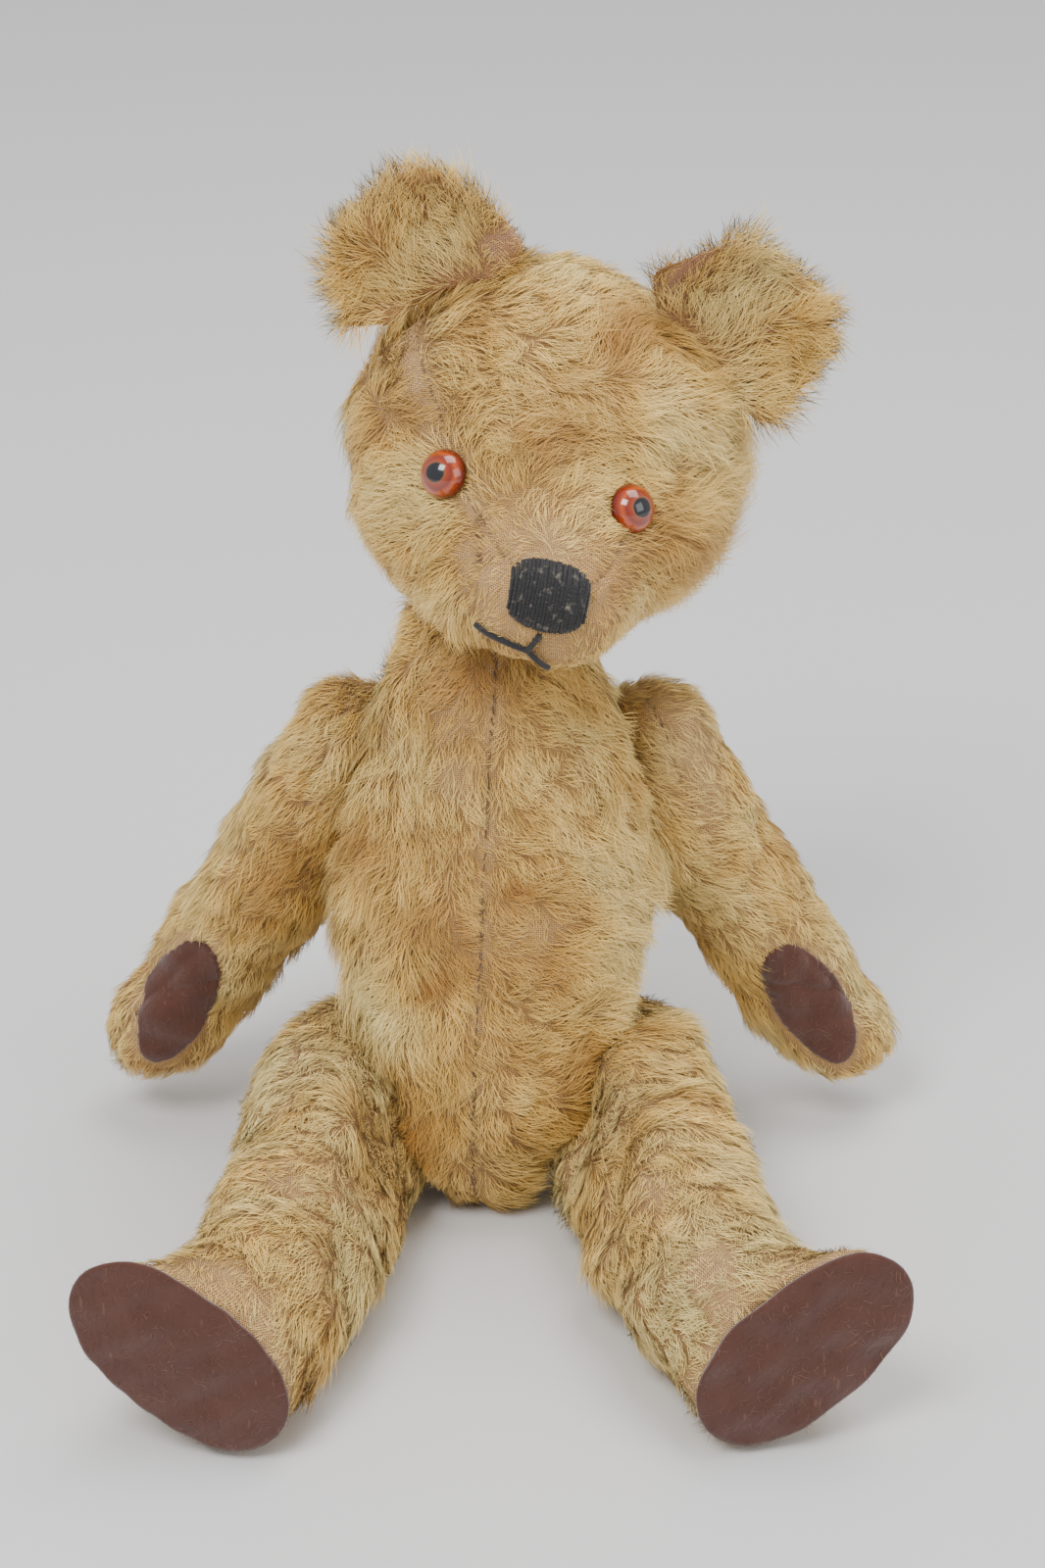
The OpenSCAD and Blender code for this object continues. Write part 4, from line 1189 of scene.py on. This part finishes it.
def makePawPad(side, piece):
    # the felt is cut from a finer copy of the paw's own cloth and lifted clear of it
    at, up = pointsOf(piece.data)
    bm = bmesh.new()
    bm.from_mesh(piece.data)
    bm.faces.ensure_lookup_table()
    level = ovalLevel(at, up, side)
    far = [f for f in bm.faces if min(level[v.index] for v in f.verts) > 1.35]
    bmesh.ops.delete(bm, geom=far, context="FACES")
    bmesh.ops.subdivide_edges(bm, edges=bm.edges, cuts=2, use_grid_fill=True, smooth=0.6)
    mesh = bpy.data.meshes.new(f"pawPad{side.capitalize()}")
    bm.to_mesh(mesh)
    bm.free()
    at, up = pointsOf(mesh)
    level = ovalLevel(at, up, side)
    bm = bmesh.new()
    bm.from_mesh(mesh)
    bm.faces.ensure_lookup_table()
    bmesh.ops.delete(
        bm, geom=[f for f in bm.faces if max(level[v.index] for v in f.verts) > 1.0], context="FACES"
    )
    bm.to_mesh(mesh)
    bm.free()
    at, up = pointsOf(mesh)
    rise = feltPiece["padRise"] + feltPiece["lump"] * ripple(at, 0.011, 300)
    setPoints(mesh, at + up * rise[:, None])
    for name in [a.name for a in mesh.attributes if a.name in ("seam", "bare", "stain")]:
        mesh.attributes.remove(mesh.attributes[name])
    pad = newPiece(f"pawPad{side.capitalize()}", mesh)
    thick = pad.modifiers.new("thickness", "SOLIDIFY")
    thick.thickness = feltPiece["soleThick"]
    thick.offset = -1
    smooth = pad.modifiers.new("smooth", "SMOOTH")
    smooth.factor = 0.5
    smooth.iterations = 6
    applied(pad)
    finishFelt(pad, f"paw_pad_{side}", f"arm_{side}", 300)


def makeLimb(kind, side, seed):
    isArm = kind == "arm"
    nodes = tuple(f"{kind}_{side}_{part}" for part in ("outer", "inner", "stuffing"))
    feltNode = f"paw_pad_{side}" if isArm else f"sole_{side}"
    body = f"{kind}_{side}"
    start = middleOf(f"shoulder_disc_outer_{side}" if isArm else f"hip_disc_outer_{side}")
    end = middleOf(feltNode)
    reach = np.linalg.norm(end - start)
    along = toward(*(end - start))
    out = np.array((outward[side], 0, 0))
    length = limb["armLength" if isArm else "legLength"]
    spots = limb["armBare" if isArm else "legBare"][side]
    feltTree = BVHTree.FromPolygons(*cadSoup(feltNode))

    def limbFields(at, up, seam):
        comb = along + toward(outward[side], -0.5, -0.2) * 0.3 + np.zeros_like(at)
        if isArm:
            level = ovalLevel(at, up, side)
            band = np.clip(1 - (level - 1.0) * 3, 0, 1)
            inside = level < 0.97
            seamBare = 0.5 * np.exp(-((seam / 0.0015) ** 2)) * (at[:, 2] > 0.065)
        else:
            gap = np.array([feltTree.find_nearest(p)[3] for p in at.tolist()])
            band = np.exp(-((gap / 0.0022) ** 2)) + 0.72 * np.clip(1.6 - gap / 0.0075, 0, 1)
            inside = gap < 0.0021
            seamBare = 0.6 * np.exp(-((seam / 0.0015) ** 2))
        bare = np.clip(np.maximum(np.maximum(band, seamBare), near(at, spots)), 0, 1)
        bare[inside] = limb["noPile"]
        tone = 0.42 * ripple(at, 0.05, seed + 21) + 0.26 * ripple(at, 0.022, seed + 22)
        return {
            "comb": comb,
            "bare": bare,
            "furLength": np.full(len(at), length) * (1 - 0.3 * band.clip(0, 1)),
            "lift": np.full(len(at), 0.38),
            "tone": tone - limb["armPale" if isArm else "legPale"],
        }

    def onOuterFace(centres):
        share = (centres - start) @ along / reach
        return (centres - start) @ out > (end - start) @ out * share

    name = f"{kind}{side.capitalize()}"
    stuffed = nodes + (feltNode,) if isArm else nodes
    piece = makeCloth(f"{name}Cloth", body, stuffed, nodes[:2] + (feltNode,), limbFields, seed, stands=nodes)
    growPile(f"{name}PileOuter", piece, body, onOuterFace, seed + 1)
    growPile(f"{name}PileInner", piece, body, lambda c: ~onOuterFace(c), seed + 2)
    if isArm:
        makePawPad(side, piece)
    else:
        makeSole(side, start)


for side in sides:
    makeLimb("arm", side, 100 + 10 * sides.index(side))
    makeLimb("leg", side, 200 + 10 * sides.index(side))


# threads
def makeThreadTree():
    # a round thread swept along every drawn line
    tree = bpy.data.node_groups.new("sweptThread", "GeometryNodeTree")
    for name, kind, start in (
        ("Lines", "NodeSocketGeometry", None),
        ("Thread radius", "NodeSocketFloat", 0.0005),
        ("Sides", "NodeSocketInt", 8),
        ("Thread", "NodeSocketMaterial", None),
    ):
        socket = tree.interface.new_socket(name, in_out="INPUT", socket_type=kind)
        if start is not None:
            socket.default_value = start
    tree.interface.new_socket("Threads", in_out="OUTPUT", socket_type="NodeSocketGeometry")
    given = tree.nodes.new("NodeGroupInput").outputs
    leave = tree.nodes.new("NodeGroupOutput")
    curves = addNode(tree, "GeometryNodeMeshToCurve", {"Mesh": given["Lines"]}).outputs[0]
    ring = addNode(
        tree, "GeometryNodeCurvePrimitiveCircle", {
            "Resolution": given["Sides"], "Radius": given["Thread radius"]
        }
    ).outputs[0]
    swept = addNode(
        tree, "GeometryNodeCurveToMesh", {"Curve": curves, "Profile Curve": ring, "Fill Caps": True}
    ).outputs[0]
    swept = addNode(tree, "GeometryNodeRealizeInstances", {0: swept}).outputs[0]
    swept = addNode(
        tree, "GeometryNodeSetMaterial", {"Geometry": swept, "Material": given["Thread"]}
    ).outputs[0]
    swept = addNode(tree, "GeometryNodeSetShadeSmooth", {"Geometry": swept}).outputs[0]
    tree.links.new(swept, leave.inputs[0])
    return tree


threadNodes = makeThreadTree()


def sewLines(name, body, lines, radius, material):
    mesh = bpy.data.meshes.new(name)
    points, edges = [], []
    for line in lines:
        edges += [(len(points) + k, len(points) + k + 1) for k in range(len(line) - 1)]
        points += [tuple(p) for p in line]
    mesh.from_pydata(points, edges, [])
    piece = newPiece(name, mesh)
    modifier = piece.modifiers.new("thread", "NODES")
    modifier.node_group = threadNodes
    setInput(modifier, "Thread radius", radius)
    setInput(modifier, "Thread", material)
    applied(piece)
    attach(piece, body)
    return piece


# nose: side by side stitches laid over the padded shape
nose = {"rows": 25, "radius": 0.00066, "stepsDown": 90, "proud": 0.0001, "round": 2.7, "outline": 0.9}
headUp = toward(0.2079, 0.0, 0.9781)


def makeNose():
    points, faces = cadSoup("nose_stitching")
    tree = BVHTree.FromPolygons(points.tolist(), faces)
    forward = toward(*(noseAt - headAt))
    forward = toward(*(forward - headUp * (forward @ headUp) * 0.6))
    right = toward(*np.cross(forward, headUp))
    upward = np.cross(right, forward)
    reach = np.abs((points - noseAt) @ right).max()
    tall = np.abs((points - noseAt) @ upward).max()
    draw = np.random.default_rng(77)
    lines = []
    for x in np.linspace(-reach * 0.985, reach * 0.985, nose["rows"]):
        line = []
        lean = draw.normal(0, 0.00022)
        for y in np.linspace(-tall * 1.05, tall * 1.05, nose["stepsDown"]):
            sideways = x + lean * y / tall
            start = noseAt + right * sideways + upward * y + forward * 0.04
            hit, normal, _, _ = tree.ray_cast(start.tolist(), (-forward).tolist())
            edge = (abs(sideways) / reach) ** nose["round"] + (abs(y) / tall) ** nose["round"]
            if hit is not None and edge < nose["outline"]:
                line.append(np.array(hit) + np.array(normal) * (nose["proud"] + draw.normal(0, 0.00006)))
        if len(line) > 9:
            top, foot = line[-1], line[0]
            line = [
                foot - forward * 0.0026 - upward * 0.0012
            ] + line + [top - forward * 0.0026 + upward * 0.0012]
            lines.append(line)
    piece = sewLines("noseStitches", "head", lines, nose["radius"], blackThread)
    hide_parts("nose_stitching")


makeNose()
mouthFatter = 0.0003
padding = roundedCopy("nosePadding", ("nose_stitching",), 0.0008, 6)
padding.data.materials.clear()
padding.data.materials.append(blackThread)
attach(padding, "head")

mouth = roundedCopy("mouthStitches", ("mouth_stitching",), 0.00042, 3)
mouthAt, mouthUp = pointsOf(mouth.data)
setPoints(mouth.data, mouthAt + mouthUp * mouthFatter)
mouth.data.materials.clear()
mouth.data.materials.append(blackThread)
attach(mouth, "head")
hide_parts("mouth_stitching")

# front seam: short stitches over the closed seam
seamStitch = {"pitch": 0.0034, "length": 0.0021, "radius": 0.00022, "bins": 60}


def makeSeamStitches():
    points, _ = cadSoup("front_seam_thread")
    edges = np.linspace(points[:, 2].min(), points[:, 2].max(), seamStitch["bins"] + 1)
    row = np.digitize(points[:, 2], edges)
    path = np.array([points[row == k].mean(0) for k in range(1, seamStitch["bins"] + 1) if (row == k).any()])
    steps = np.concatenate([[0], np.cumsum(np.linalg.norm(np.diff(path, axis=0), axis=1))])
    draw = np.random.default_rng(21)
    lines = []
    for start in np.arange(0, steps[-1] - seamStitch["length"], seamStitch["pitch"]):
        if draw.random() < 0.15:
            continue
        aside = draw.normal(0, 0.00035)
        line = []
        for share in (0.0, 0.3, 0.7, 1.0):
            s = start + share * seamStitch["length"]
            p = np.array([np.interp(s, steps, path[:, k]) for k in range(3)])
            rise = 0.0002 if 0 < share < 1 else -0.0007
            line.append(p + np.array((aside * (1 - 2 * share), -rise, 0)))
        lines.append(line)
    piece = sewLines("frontSeamStitches", "torso", lines, seamStitch["radius"], brownThread)
    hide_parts("front_seam_thread")


makeSeamStitches()

# glass eyes
eye = {"rings": 28, "spokes": 56, "size": 0.91}


def makeEyeMaterial():
    material, tree, shader = newMaterial(
        "amberGlass", 0.16, **{
            "Coat Weight": 1.0, "Coat Roughness": 0.03, "Specular IOR Level": 0.4, "IOR": 1.5
        }
    )
    ring = attribute(tree, "ringAt")
    wander = math1(
        tree, "MULTIPLY", math1(tree, "SUBTRACT", noise(tree, objectPoint(tree), 0.003, 3), 0.5), 0.09
    )
    # radial eye colour: the black pupil and amber are the eye's own, the bright rings are painted reflections
    # in the glass and the darker rim is painted shade
    tone = ramp(
        tree,
        math1(tree, "ADD", ring, wander),
        [
            (0.0, (0.006, 0.008, 0.014)),
            (0.36, (0.008, 0.008, 0.012)),
            (0.42, (0.24, 0.075, 0.022)),
            (0.48, (0.30, 0.032, 0.004)),
            (0.64, (0.20, 0.014, 0.002)),
            (0.78, (0.48, 0.070, 0.007)),
            (0.90, (0.22, 0.014, 0.002)),
            (1.0, (0.06, 0.006, 0.002)),
        ],
    )
    tree.links.new(tone, shader.inputs["Base Color"])
    return material


amberGlass = makeEyeMaterial()


def makeEye(side):
    base = cadSoup(f"eye_{side}_glass")[0]
    pupilAt, wireAt = (cadSoup(f"eye_{side}_{part}")[0].mean(0) for part in ("pupil", "wire"))
    axis = toward(*(pupilAt - wireAt))
    depth = (base - pupilAt) @ axis
    foot = pupilAt + axis * depth.min()
    tall = depth.max() - depth.min()
    across = (base - foot) - np.outer((base - foot) @ axis, axis)
    radius = np.linalg.norm(across, axis=1).max() * eye["size"]
    first = toward(*np.cross(axis, (0, 0, 1)))
    second = np.cross(axis, first)
    dome = (radius**2 + tall**2) / (2 * tall)
    points, ringAt = [foot + axis * tall], [0.0]
    for k in range(1, eye["rings"] + 1):
        share = k / eye["rings"]
        out = radius * math.sin(share * math.pi / 2)
        high = math.sqrt(max(dome**2 - out**2, 0)) - (dome - tall)
        for j in range(eye["spokes"]):
            turn = 2 * math.pi * j / eye["spokes"]
            points.append(
                foot + axis * max(high, 0) + (first * math.cos(turn) + second * math.sin(turn)) * out
            )
            ringAt.append(out / radius)
    mesh = closedMesh(f"eye{side.capitalize()}Glass", points, domeFaces(eye["rings"], eye["spokes"]))
    mesh.polygons.foreach_set("use_smooth", [True] * len(mesh.polygons))
    setField(mesh, "ringAt", np.array(ringAt))
    mesh.materials.append(amberGlass)
    piece = newPiece(f"eye{side.capitalize()}Glass", mesh)
    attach(piece, "head")
    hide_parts(f"eye_{side}_glass", f"eye_{side}_pupil")


for side in sides:
    makeEye(side)
print("face finished")

# carried-over parts
slotOf = {row["node"]: row["material_slot"] for row in frame["record"]["subparts"]}
for node, made in frame["nodes"].items():
    if slotOf.get(node) in hardware:
        made.data.materials.clear()
        made.data.materials.append(hardware[slotOf[node]])
